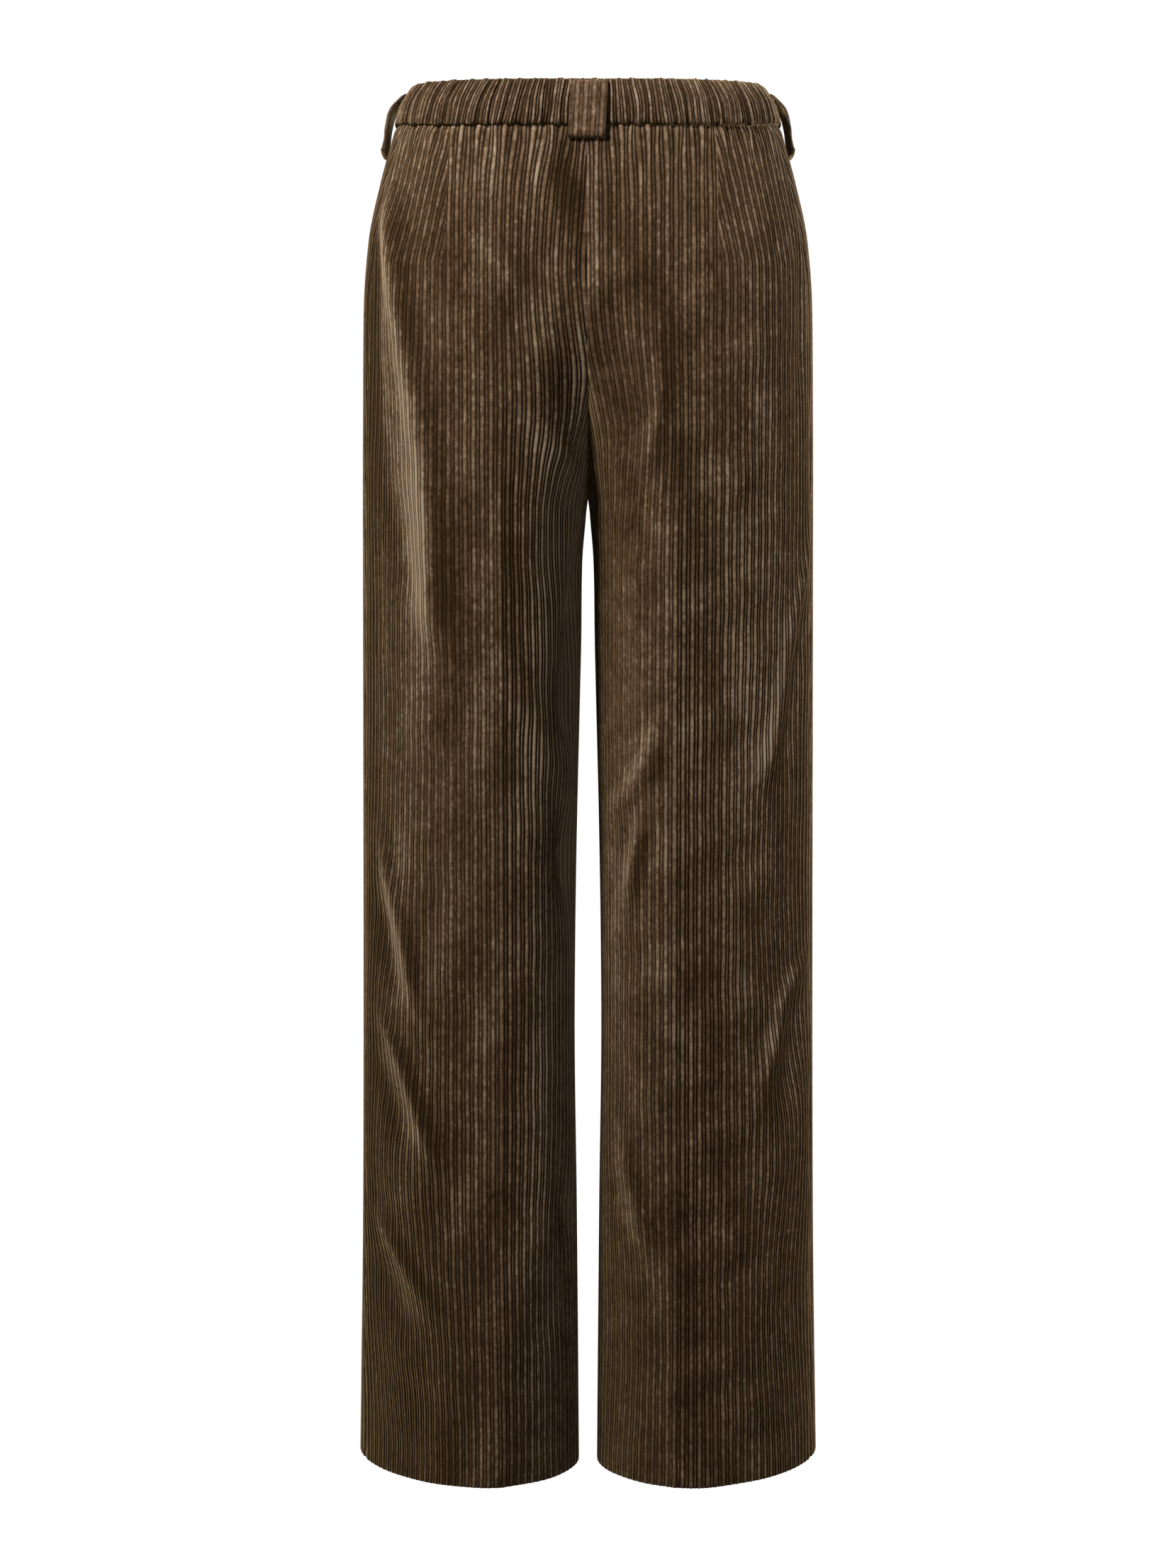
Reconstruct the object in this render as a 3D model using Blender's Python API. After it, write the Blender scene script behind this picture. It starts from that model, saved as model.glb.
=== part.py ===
"""Wide-leg corduroy trousers with an elasticated back waistband, filled out as if worn.

Metres, +Z up. The wearer faces -Y and their left leg is at +X. The origin is the centre of the
waist, half way up the waistband. Depths are measured downwards from the waist seam.
"""

import math
from collections import namedtuple

import bmesh
import bpy
from mathutils import Vector

# ---------------------------------------------------------------- driving dimensions

# SNAP is how near a column may come to an edge before it ends on that edge.

BAND_HEIGHT = 0.035
SEAM_LEVEL = -BAND_HEIGHT / 2
CROTCH_DEPTH = 0.2925
HEM_DEPTH = 1.080
FRONT_DIP = 0.010
DIP_START_Y = 0.05
DIP_SPAN_Y = 0.14
DIP_FADE_DEPTH = 0.16
SIDE_RISE = 0.0062
SIDE_RISE_SPAN_Y = 0.05

CLOTH_WALL = 0.0020
RIB_PITCH = 0.0068
RIB_HEIGHT = 0.0009
COLUMN = RIB_PITCH / 2
PLAIN_COLUMNS = 6
SEAM_GAP = 0.0003
SNAP = 0.0009
MERGE_DISTANCE = 0.00002
SHARP_ANGLE = math.radians(50)

SEAT_START = 0.120
SEAT_CURVE = 2.0
FRONT_CURVE = 2.6
CLEFT = 0.003
ROUNDNESS = 2.12
ARC_STEPS = 36

DART_LENGTH = 0.105
DART_INTAKE = 0.024
DART_GROOVE = 0.0012
DART_GROOVE_WIDTH = 0.004
DART_FADE = 0.03
DART_COLUMNS = {"left": 13, "right": 10}

BAND_BACK_INSIDE = 0.0016
BAND_PUFF = 0.0024
BAND_EDGE = 0.0010
BAND_STEP_FADE = 0.012
GATHERS = 48
GATHER_HEIGHT = 0.0015
GATHER_EDGE_HEIGHT = 0.0009
BAND_FRONT_LIFT = 0.0014
BAND_FRONT_THICK = 0.0030
BAND_LAP = 0.034
BAND_LAP_RAMP = 0.014
BAND_LAP_RISE = BAND_FRONT_THICK + 0.0018

LOOP_WIDTH = 0.029
LOOP_THICK = 0.0026
LOOP_COLUMNS = 4
LOOP_PAST_SIDE_SEAM = 0.040
LOOP_PAST_FRONT_CREASE = 0.004

FLY_WIDTH = 0.0374
FLY_LENGTH = 0.164
FLY_STRAIGHT = 0.100
FLY_THICK = 0.0015
FLY_STANDOFF = 0.0009
FLY_ROUNDING = (0.0, 0.42, 0.72, 0.91, 1.0)

BUTTON_RADIUS = 0.0090
BUTTON_THICK = 0.0032
BUTTON_SIDES = 16

CORDUROY_COLOUR = (0.056, 0.034, 0.019)
CORDUROY_ROUGHNESS = 0.85
HORN_COLOUR = (0.030, 0.018, 0.011)
HORN_ROUGHNESS = 0.35

# Plan of one half at each depth. side, back and front are how far it reaches each way; back_x,
# side_y and front_x say where; edge is the leg's nearest x to the middle, at edge_y.
Section = namedtuple("Section", "depth side back back_x side_y front front_x edge edge_y")
SECTIONS = [
    Section(-0.0350, 0.1395, 0.0955, 0.035, -0.004, 0.0900, 0.035, 0.0000, 0.012),
    Section(-0.0175, 0.1482, 0.0985, 0.038, -0.005, 0.0930, 0.037, 0.0000, 0.012),
    Section(0.0000, 0.1522, 0.0995, 0.040, -0.005, 0.0940, 0.040, 0.0000, 0.012),
    Section(0.0450, 0.1650, 0.1090, 0.052, -0.006, 0.0995, 0.048, 0.0000, 0.012),
    Section(0.0900, 0.1748, 0.1168, 0.060, -0.006, 0.1035, 0.056, 0.0000, 0.012),
    Section(0.1400, 0.1788, 0.1220, 0.065, -0.007, 0.1060, 0.066, 0.0000, 0.012),
    Section(0.2000, 0.1798, 0.1240, 0.067, -0.009, 0.1070, 0.080, 0.0000, 0.012),
    Section(0.2925, 0.1808, 0.1200, 0.068, -0.012, 0.1070, 0.098, 0.0002, 0.012),
    Section(0.3400, 0.1811, 0.1165, 0.068, -0.013, 0.1055, 0.104, 0.0036, 0.013),
    Section(0.4600, 0.1818, 0.1090, 0.068, -0.015, 0.1010, 0.112, 0.0072, 0.015),
    Section(0.6330, 0.1827, 0.1030, 0.068, -0.016, 0.0970, 0.118, 0.0107, 0.017),
    Section(0.7200, 0.1832, 0.1010, 0.068, -0.016, 0.0960, 0.119, 0.0113, 0.017),
    Section(0.8660, 0.1845, 0.1000, 0.068, -0.016, 0.0980, 0.120, 0.0096, 0.018),
    Section(1.0800, 0.1884, 0.1000, 0.069, -0.016, 0.1020, 0.121, 0.0079, 0.018),
]

# Where the seams and pressed creases run: seam_back is how far behind the widest point the side
# seam lies, inseam_shift how far round to the front the inseam lies, crease_x and
# front_crease_x the x of the two pressed creases.
Seams = namedtuple("Seams", "depth seam_back inseam_shift crease_x front_crease_x")
SEAMS = [
    Seams(-0.0350, 0.034, 0.000, 0.068, 0.084),
    Seams(0.0000, 0.036, 0.000, 0.068, 0.085),
    Seams(0.1400, 0.040, 0.000, 0.068, 0.096),
    Seams(0.2925, 0.036, 0.000, 0.068, 0.108),
    Seams(0.5500, 0.030, 0.026, 0.068, 0.116),
    Seams(1.0800, 0.028, 0.030, 0.069, 0.120),
]

ROWS = [0.0, 0.030, 0.070, 0.115, 0.165, 0.210, 0.248, 0.275, CROTCH_DEPTH]
ROWS += [0.335, 0.415, 0.500, 0.585, 0.670, 0.760, 0.860, 0.965, HEM_DEPTH]

# The largest folds of each half. path holds (around, depth) places, around being measured along
# the cloth from the back crease, outwards past the side seam and on to the front.
Fold = namedtuple("Fold", "half path width height")
FOLDS = [
    Fold("left", [(0.122, 0.070), (0.106, 0.160), (0.083, 0.260), (0.066, 0.380), (0.052, 0.520)],
         0.013, 0.0055),
    Fold("left", [(0.124, 0.560), (0.082, 0.660), (0.062, 0.730)], 0.013, 0.0050),
    Fold("left", [(0.122, 0.705), (0.081, 0.765), (0.047, 0.860)], 0.012, 0.0045),
    Fold("left", [(0.128, 0.880), (0.090, 0.940), (0.060, 0.985)], 0.013, 0.0050),
    Fold("left", [(-0.046, 0.250), (-0.044, 0.360), (-0.052, 0.470)], 0.024, -0.0065),
    Fold("left", [(-0.008, 0.425), (-0.043, 0.505), (-0.085, 0.520)], 0.010, 0.0050),
    Fold("left", [(-0.060, 0.550), (-0.064, 0.640)], 0.018, -0.0050),
    Fold("left", [(0.014, 0.085), (-0.035, 0.150), (-0.060, 0.185)], 0.012, 0.0025),
    Fold("left", [(0.092, 0.130), (0.075, 0.230), (0.052, 0.330)], 0.015, -0.0030),
    Fold("right", [(0.014, 0.385), (0.000, 0.440), (-0.034, 0.512), (-0.060, 0.555)],
         0.011, 0.0055),
    Fold("right", [(-0.056, 0.420), (-0.064, 0.490)], 0.020, -0.0045),
    Fold("right", [(-0.064, 0.780), (-0.042, 0.835), (-0.018, 0.915)], 0.012, 0.0045),
    Fold("right", [(0.120, 0.325), (0.100, 0.445), (0.072, 0.545)], 0.011, 0.0050),
    Fold("right", [(0.138, 0.400), (0.120, 0.500), (0.096, 0.570)], 0.013, -0.0040),
    Fold("right", [(0.122, 0.670), (0.124, 0.810)], 0.017, -0.0045),
    Fold("right", [(0.110, 0.685), (0.078, 0.785)], 0.010, 0.0040),
    Fold("right", [(0.112, 0.985), (0.104, 1.035)], 0.016, -0.0040),
    Fold("right", [(0.090, 0.055), (0.086, 0.140)], 0.010, 0.0030),
    Fold("right", [(-0.010, 0.150), (-0.014, 0.215)], 0.010, 0.0025),
    Fold("left", [(0.228, 0.320), (0.246, 0.470), (0.262, 0.600)], 0.014, 0.0042),
    Fold("left", [(0.262, 0.700), (0.232, 0.830)], 0.014, 0.0042),
    Fold("left", [(0.380, 0.300), (0.345, 0.400), (0.320, 0.470)], 0.013, 0.0050),
    Fold("left", [(0.350, 0.800), (0.385, 0.930)], 0.015, -0.0045),
    Fold("right", [(0.230, 0.300), (0.248, 0.430), (0.264, 0.540)], 0.013, 0.0042),
    Fold("right", [(0.262, 0.620), (0.236, 0.760)], 0.015, 0.0042),
    Fold("right", [(0.385, 0.295), (0.350, 0.390), (0.330, 0.450)], 0.012, 0.0050),
    Fold("right", [(0.355, 0.640), (0.385, 0.760)], 0.015, -0.0045),
]
CREASE_HEIGHT = 0.0018
CREASE_WIDTH = 0.0050
CREASE_START = 0.22
CREASE_FADE = 0.10
FOLD_TAPER = 0.045
FOLD_REACH = 3

# The elastic waistband's profile, from its seam, part 0, up to its top edge, part 1.
BandRow = namedtuple("BandRow", "part puff gather")
BACK_BAND = [
    BandRow(0.0, BAND_EDGE, GATHER_EDGE_HEIGHT), BandRow(0.22, BAND_PUFF, GATHER_HEIGHT),
    BandRow(0.72, BAND_PUFF, GATHER_HEIGHT), BandRow(1.0, BAND_EDGE, GATHER_EDGE_HEIGHT),
]

# How the gathers wander from an even spacing, in turns of one gather, per gather along the band.
Wander = namedtuple("Wander", "amount rate")
GATHER_WANDERS = [Wander(0.18, 1.7), Wander(0.12, 0.61)]

# How far a belt loop stands off what is under it, from its top end to its bottom end.
LoopRow = namedtuple("LoopRow", "depth standoff")
FLAT_LOOP = [
    LoopRow(-0.0335, 0.0003), LoopRow(-0.0240, 0.0010), LoopRow(-0.0120, 0.0012),
    LoopRow(-0.0020, 0.0014), LoopRow(0.0060, 0.0014), LoopRow(0.0110, 0.0004),
]
ARCHED_LOOP = [
    LoopRow(-0.0310, 0.0003), LoopRow(-0.0250, 0.0014), LoopRow(-0.0150, 0.0028),
    LoopRow(-0.0020, 0.0037), LoopRow(0.0080, 0.0039), LoopRow(0.0160, 0.0039),
    LoopRow(0.0215, 0.0020), LoopRow(0.0240, 0.0004),
]

# The button's profile from its dished face to its back, in shares of its radius and half its
# thickness.
ButtonPoint = namedtuple("ButtonPoint", "reach rise")
BUTTON_PROFILE = [
    ButtonPoint(0.0, 0.45), ButtonPoint(0.62, 0.45), ButtonPoint(0.76, 1.0),
    ButtonPoint(0.94, 0.8), ButtonPoint(1.0, 0.0), ButtonPoint(0.9, -1.0), ButtonPoint(0.0, -1.0),
]

SIDES = {"left": 1.0, "right": -1.0}


# ---------------------------------------------------------------- form

def smooth_step(value):
    value = min(max(value, 0.0), 1.0)
    return value * value * (3 - 2 * value)


def read_table(table, depth):
    """A row of the table at any depth, on a smooth curve through its own rows."""
    last = len(table) - 1
    depth = min(max(depth, table[0].depth), table[last].depth)
    index = 0
    while index < last - 1 and table[index + 1].depth < depth:
        index += 1
    low, high = table[index], table[index + 1]
    before, after = table[max(index - 1, 0)], table[min(index + 2, last)]
    span = high.depth - low.depth
    part = (depth - low.depth) / span
    values = []
    for name in low._fields:
        start, end = getattr(low, name), getattr(high, name)
        slope = (end - start) / span
        reach_in = low.depth - before.depth
        reach_out = after.depth - high.depth
        slope_in = (start - getattr(before, name)) / reach_in if reach_in else slope
        slope_out = (getattr(after, name) - end) / reach_out if reach_out else slope
        tangent_in = shared_slope(slope_in, slope) * span
        tangent_out = shared_slope(slope, slope_out) * span
        bend = (2 * part**3 - 3 * part**2 + 1) * start + (part**3 - 2 * part**2 + part) * tangent_in
        bend += (3 * part**2 - 2 * part**3) * end + (part**3 - part**2) * tangent_out
        values.append(bend)
    return low._make(values)


def shared_slope(one, other):
    """The slope at a table row: none where the values turn back, else the harmonic mean."""
    if one * other <= 0:
        return 0.0
    return 2 * one * other / (one + other)


def rise_middle(depth, reach, edge_y, power):
    """y of the centre seam: full reach down to the seat, then curving in under the crotch."""
    fall = min(max((depth - SEAT_START) / (CROTCH_DEPTH - SEAT_START), 0.0), 1.0)
    return edge_y + (reach - edge_y) * (1 - fall**power)


def middle_arc(edge, edge_y, crown_x, crown_y, tuck):
    """Plan points from the centre edge to the fullest point. tuck 0 is flat across, 1 is a leg."""
    points = []
    for step in range(ARC_STEPS + 1):
        turn = math.pi / 2 * step / ARC_STEPS
        across = 1 - math.cos(turn)
        flat = 0.5 - 0.5 * math.cos(math.pi * across)
        rise = flat + (math.sin(turn) - flat) * tuck
        points.append((edge + (crown_x - edge) * across, edge_y + (crown_y - edge_y) * rise))
    return points


def side_arc(crown_x, crown_y, side, side_y):
    """Plan points from the fullest point round to the widest point."""
    points = []
    for step in range(1, ARC_STEPS + 1):
        turn = math.pi / 2 * step / ARC_STEPS
        across = math.sin(turn) ** (2 / ROUNDNESS)
        along = max(math.cos(turn), 0.0) ** (2 / ROUNDNESS)
        points.append((crown_x + (side - crown_x) * across, side_y + (crown_y - side_y) * along))
    return points


class Ring:
    """The plan outline of the left half at one depth, and where its seams and creases lie."""

    def __init__(self, depth):
        self.depth = depth
        plan = read_table(SECTIONS, depth)
        seams = read_table(SEAMS, depth)
        self.is_leg = depth >= CROTCH_DEPTH
        tuck = smooth_step((depth - SEAT_START) / (CROTCH_DEPTH - SEAT_START))
        cleft = CLEFT * smooth_step(depth / SEAT_START)
        back_edge = rise_middle(depth, plan.back - cleft, plan.edge_y, SEAT_CURVE)
        front_edge = rise_middle(depth, -plan.front, plan.edge_y, FRONT_CURVE)
        back = middle_arc(plan.edge, back_edge, plan.back_x, plan.back, tuck)
        back += side_arc(plan.back_x, plan.back, plan.side, plan.side_y)
        front = middle_arc(plan.edge, front_edge, plan.front_x, -plan.front, tuck)
        front += side_arc(plan.front_x, -plan.front, plan.side, plan.side_y)
        self.points = back + front[-2::-1]
        self.lengths = [0.0]
        for here, there in zip(self.points, self.points[1:]):
            self.lengths.append(self.lengths[-1] + math.dist(here, there))
        self.total = self.lengths[-1]
        widest = self.lengths[len(back) - 1]
        self.crease = self.length_at_x(seams.crease_x, range(len(back) - 1))
        self.front_crease = self.length_at_x(
            seams.front_crease_x, range(len(back) - 1, len(self.points) - 1))
        self.side_seam = widest - seams.seam_back
        self.inseam = -seams.inseam_shift

    def length_at_x(self, across, indices):
        """How far round the outline first crosses a given x."""
        for index in indices:
            start, end = self.points[index][0], self.points[index + 1][0]
            if (start - across) * (end - across) <= 0 and start != end:
                part = (across - start) / (end - start)
                span = self.lengths[index + 1] - self.lengths[index]
                return self.lengths[index] + part * span
        return self.lengths[indices[0]]

    def place(self, length):
        """Plan point and outward direction at a length round from the centre back."""
        mirrored = False
        if self.is_leg:
            length %= self.total
        elif length < 0:
            length, mirrored = -length, True
        length = min(length, self.total)
        low, high = 0, len(self.lengths) - 1
        while high - low > 1:
            middle = (low + high) // 2
            if self.lengths[middle] <= length:
                low = middle
            else:
                high = middle
        part = (length - self.lengths[low]) / max(self.lengths[high] - self.lengths[low], 1e-9)
        start, end = Vector(self.points[low]), Vector(self.points[high])
        way_in = self.direction(low)
        way_out = self.direction(low + 1)
        way = (way_in + (way_out - way_in) * part).normalized()
        point = start + (end - start) * part
        outward = Vector((-way.y, way.x))
        if mirrored:
            return Vector((-point.x, point.y)), Vector((-outward.x, outward.y))
        return point, outward

    def direction(self, index):
        """The outline's direction at one of its points."""
        last = len(self.points) - 1
        before, after = self.points[max(index - 1, 0)], self.points[min(index + 1, last)]
        if self.is_leg and index in (0, last):
            before, after = self.points[last - 1], self.points[1]
        return Vector((after[0] - before[0], after[1] - before[1])).normalized()


RINGS = {}


def ring_at(depth):
    if depth not in RINGS:
        RINGS[depth] = Ring(depth)
    return RINGS[depth]


def near_path(place, path):
    """Distance from a place to a fold's path, and how far from the path's nearer end it falls."""
    best = (1.0, 0.0)
    run = 0.0
    total = sum(math.dist(start, end) for start, end in zip(path, path[1:]))
    for start, end in zip(path, path[1:]):
        way = Vector(end) - Vector(start)
        span = way.length
        part = (Vector(place) - Vector(start)).dot(way) / span**2
        part = min(max(part, 0.0), 1.0)
        gap = (Vector(place) - Vector(start) - way * part).length
        if gap < best[0]:
            travelled = run + span * part
            best = (gap, min(travelled, total - travelled))
        run += span
    return best


def fold_height(half, around, depth, ring):
    """How far the folds and pressed creases lift the cloth at a place."""
    height = 0.0
    turns = [around, around - ring.total, around + ring.total] if ring.is_leg else [around]
    for fold in FOLDS:
        if fold.half != half:
            continue
        for turn in turns:
            gap, end_gap = near_path((turn, depth), fold.path)
            if gap < FOLD_REACH * fold.width:
                taper = smooth_step((end_gap + fold.width) / FOLD_TAPER)
                height += fold.height * math.exp(-((gap / fold.width) ** 2)) * taper
    press = smooth_step((depth - CREASE_START) / CREASE_FADE)
    for crease in (0.0, ring.front_crease - ring.crease):
        gap = around - crease
        height += CREASE_HEIGHT * press * math.exp(-((gap / CREASE_WIDTH) ** 2))
    return height


def dart_width(depth):
    return DART_INTAKE * max(1 - depth / DART_LENGTH, 0.0)


def level(depth, back_reach):
    """z at a depth. The waist is lower in front, and its seam rises a little at the sides."""
    dip = FRONT_DIP * smooth_step((DIP_START_Y - back_reach) / DIP_SPAN_Y)
    at_side = math.exp(-((back_reach / SIDE_RISE_SPAN_Y) ** 2))
    dip -= SIDE_RISE * at_side * smooth_step(1 + depth / BAND_HEIGHT)
    return SEAM_LEVEL - depth - dip * (1 - smooth_step(depth / DIP_FADE_DEPTH))


def cloth_point(half, ring, length, lift):
    """A point lifted off the form, kept on its own half. length runs from the centre back."""
    point, outward = ring.place(length)
    point = point + outward * lift
    across = max(point.x, SEAM_GAP / 2)
    return Vector((across * SIDES[half], point.y, level(ring.depth, point.y)))


# ---------------------------------------------------------------- building

def add_material(name, colour, roughness):
    material = bpy.data.materials.new(name)
    material.use_nodes = True
    shader = material.node_tree.nodes["Principled BSDF"]
    shader.inputs["Base Color"].default_value = (*colour, 1.0)
    shader.inputs["Roughness"].default_value = roughness
    return material


def add_object(name, shape, material):
    bmesh.ops.recalc_face_normals(shape, faces=shape.faces)
    mesh = bpy.data.meshes.new(name)
    shape.to_mesh(mesh)
    shape.free()
    mesh.materials.append(material)
    mesh.shade_smooth()
    mesh.set_sharp_from_angle(angle=SHARP_ANGLE)
    made = bpy.data.objects.new(name, mesh)
    bpy.context.collection.objects.link(made)
    return made


def add_wall(name, material, columns, rows, outer, inner, plain_columns, plain_rows):
    """A closed wall. outer(column, row) and inner(column, row) give its two faces.

    Its inner face keeps only the plain columns and rows, so it stays smooth under the ribs.
    """
    shape = bmesh.new()
    bmesh.ops.create_grid(shape, x_segments=columns, y_segments=rows, size=1.0)
    column_layer = shape.verts.layers.int.new("column")
    row_layer = shape.verts.layers.int.new("row")
    outer_layer = shape.verts.layers.int.new("outer")
    for vertex in shape.verts:
        vertex[column_layer] = round((vertex.co.x + 1) / 2 * columns)
        vertex[row_layer] = round((vertex.co.y + 1) / 2 * rows)
    raised = bmesh.ops.extrude_face_region(shape, geom=list(shape.faces), use_keep_orig=True)
    for item in raised["geom"]:
        if isinstance(item, bmesh.types.BMVert):
            item[outer_layer] = 1

    def spare(edge):
        one, other = edge.verts
        if one[outer_layer] and other[outer_layer]:
            return False
        column_spare = one[column_layer] not in plain_columns
        row_spare = one[row_layer] not in plain_rows
        if one[outer_layer] != other[outer_layer]:
            return column_spare or row_spare
        if one[column_layer] == other[column_layer]:
            return column_spare
        return row_spare

    spares = [edge for edge in shape.edges if spare(edge)]
    bmesh.ops.dissolve_edges(shape, edges=spares, use_verts=True)
    for vertex in shape.verts:
        face = outer if vertex[outer_layer] else inner
        vertex.co = face(vertex[column_layer], vertex[row_layer])
    bmesh.ops.remove_doubles(shape, verts=shape.verts, dist=MERGE_DISTANCE)
    return add_object(name, shape, material)


def panel_limits(face, ring):
    """Where a panel's inner edge, reference crease and side seam lie round the ring."""
    if face == "back":
        return ring.inseam + SEAM_GAP / 2, ring.crease, ring.side_seam - SEAM_GAP / 2
    return ring.total + ring.inseam - SEAM_GAP / 2, ring.front_crease, ring.side_seam + SEAM_GAP / 2


def panel_length(half, face, ring, column):
    """How far round the ring a column of the cloth lies, and whether it is clear of every seam.

    Columns that the dart takes in end on its line, and those past an edge end on that edge.
    """
    inner_edge, crease, side_seam = panel_limits(face, ring)
    outwards = 1 if face == "back" else -1
    along = column * COLUMN
    clear = True
    if face == "back":
        dart = DART_COLUMNS[half] * COLUMN
        intake = dart_width(ring.depth)
        if intake and along >= dart:
            along = max(along - intake, dart)
            if along - dart < SNAP:
                along, clear = dart, False
    length = crease + outwards * along
    if outwards * (side_seam - length) < SNAP:
        return side_seam, False
    if outwards * (length - inner_edge) < SNAP:
        return inner_edge, False
    return length, clear


def panel_lift(half, face, ring, length):
    """How far the plain cloth stands off the form: its folds, and the groove of its dart."""
    lift = fold_height(half, length - ring.crease, ring.depth, ring)
    if face == "back":
        gap = length - ring.crease - DART_COLUMNS[half] * COLUMN
        sewn = smooth_step((DART_LENGTH - ring.depth) / DART_FADE)
        lift -= DART_GROOVE * sewn * math.exp(-((gap / DART_GROOVE_WIDTH) ** 2))
    return lift


def rib(column):
    return RIB_HEIGHT / 2 if column % 2 == 0 else -RIB_HEIGHT / 2


def panel_columns(half, face):
    """The first and last column that the panel needs at any depth."""
    most_in = most_out = 0.0
    for depth in ROWS:
        ring = ring_at(depth)
        inner_edge, crease, side_seam = panel_limits(face, ring)
        dart = dart_width(depth) if face == "back" else 0.0
        most_in = max(most_in, abs(crease - inner_edge))
        most_out = max(most_out, abs(side_seam - crease) + dart)
    return -math.ceil(most_in / COLUMN), math.ceil(most_out / COLUMN)


def panel_row_depth(row):
    """Rows are the shared depths, with half a seam's gap left under the waistband."""
    return ROWS[row] if row else SEAM_GAP / 2


def add_panel(half, face, material):
    first, last = panel_columns(half, face)

    def outer(index, row):
        ring = ring_at(panel_row_depth(row))
        length, clear = panel_length(half, face, ring, index + first)
        lift = panel_lift(half, face, ring, length) + (rib(index + first) if clear else 0.0)
        return cloth_point(half, ring, length, lift)

    def inner(index, row):
        ring = ring_at(panel_row_depth(row))
        length, _ = panel_length(half, face, ring, index + first)
        return cloth_point(half, ring, length, panel_lift(half, face, ring, length) - CLOTH_WALL)

    plain = {index for index in range(last - first + 1) if (index + first) % PLAIN_COLUMNS == 0}
    plain |= {0, last - first}
    if face == "back":
        plain.add(DART_COLUMNS[half] - first)
    rows = len(ROWS) - 1
    add_wall(f"{face}_{half}", material, last - first, rows, outer, inner, plain, set(range(rows + 1)))


def band_depth(part):
    """Depth at a part of the waistband's height, from its seam, 0, to its top edge, 1."""
    return -SEAM_GAP / 2 - (BAND_HEIGHT - SEAM_GAP) * part


def gather(turn):
    """One gather's rise, from -1 in its groove to 1 on its crest, uneven along the band."""
    wander = sum(each.amount * math.sin(turn * each.rate) for each in GATHER_WANDERS)
    return math.cos(2 * math.pi * (turn + wander))


def band_point(ring, length, lift):
    """A waistband point. length is signed: over 0 on the left half, under 0 on the right."""
    point, outward = ring.place(abs(length))
    point = point + outward * lift
    return Vector((math.copysign(1.0, length) * point.x, point.y, level(ring.depth, point.y)))


def add_back_band(material):
    """The elastic stretch, from side seam to side seam, puffed between its seam and its top."""
    columns = 2 * GATHERS
    rows = len(BACK_BAND) - 1

    def length_of(index, ring):
        return (2 * index / columns - 1) * (ring.side_seam - SEAM_GAP / 2)

    def outer(index, row):
        ring = ring_at(band_depth(BACK_BAND[row].part))
        crest = gather(index / 2) if 0 < index < columns else 0.0
        lift = BACK_BAND[row].puff + BACK_BAND[row].gather / 2 * crest
        return band_point(ring, length_of(index, ring), lift)

    def inner(index, row):
        ring = ring_at(band_depth(BACK_BAND[row].part))
        return band_point(ring, length_of(index, ring), -BAND_BACK_INSIDE)

    plain = set(range(0, columns + 1, PLAIN_COLUMNS))
    every = set(range(rows + 1))
    add_wall("waistband_back", material, columns, rows, outer, inner, plain, every)


def add_front_band(half, material):
    """The right end laps over the left at the centre front."""
    laps = half == "right"
    sample = ring_at(0.0)
    reach = sample.total - sample.side_seam + (BAND_LAP if laps else 0.0)
    columns = PLAIN_COLUMNS * round(reach / COLUMN / PLAIN_COLUMNS)
    rows = len(BACK_BAND) - 1

    def place(index, row, lift):
        ring = ring_at(band_depth(BACK_BAND[row].part))
        start = ring.side_seam + SEAM_GAP / 2
        end = ring.total + BAND_LAP if laps else ring.total - SEAM_GAP
        length = start + (end - start) * index / columns
        past = length - ring.total
        if laps:
            lift += BAND_LAP_RISE * smooth_step(1 + past / BAND_LAP_RAMP)
        point = band_point(ring, ring.total - abs(past), lift)
        mirror = -1 if laps and past <= 0 else 1
        return Vector((point.x * mirror, point.y, point.z))

    def outer(index, row):
        return place(index, row, BAND_FRONT_LIFT + (rib(index) if 0 < index < columns else 0.0))

    def inner(index, row):
        return place(index, row, BAND_FRONT_LIFT - BAND_FRONT_THICK)

    plain = set(range(0, columns + 1, PLAIN_COLUMNS))
    every = set(range(rows + 1))
    add_wall(f"waistband_front_{half}", material, columns, rows, outer, inner, plain, every)


def surface_lift(depth):
    """How far the waistband's or panel's crests stand off the form, for what lies on them."""
    if depth < 0:
        part = min(-depth / BAND_HEIGHT, 1.0)
        puff = (BAND_PUFF - BAND_EDGE) * math.sqrt(math.sin(math.pi * part))
        return BAND_EDGE + puff + GATHER_HEIGHT / 2
    step = (BAND_EDGE + GATHER_HEIGHT / 2) * (1 - smooth_step(depth / BAND_STEP_FADE))
    return RIB_HEIGHT / 2 + step


def add_belt_loop(name, material, rows, middle):
    """middle(ring) is the signed length round the ring of the loop's middle."""
    def place(index, row, lift):
        ring = ring_at(rows[row].depth)
        length = middle(ring) + LOOP_WIDTH * (index / LOOP_COLUMNS - 0.5)
        return band_point(ring, length, surface_lift(ring.depth) + rows[row].standoff + lift)

    def outer(index, row):
        return place(index, row, LOOP_THICK)

    def inner(index, row):
        return place(index, row, 0.0)

    every = set(range(LOOP_COLUMNS + 1))
    add_wall(name, material, LOOP_COLUMNS, len(rows) - 1, outer, inner, every, set(range(len(rows))))


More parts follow.
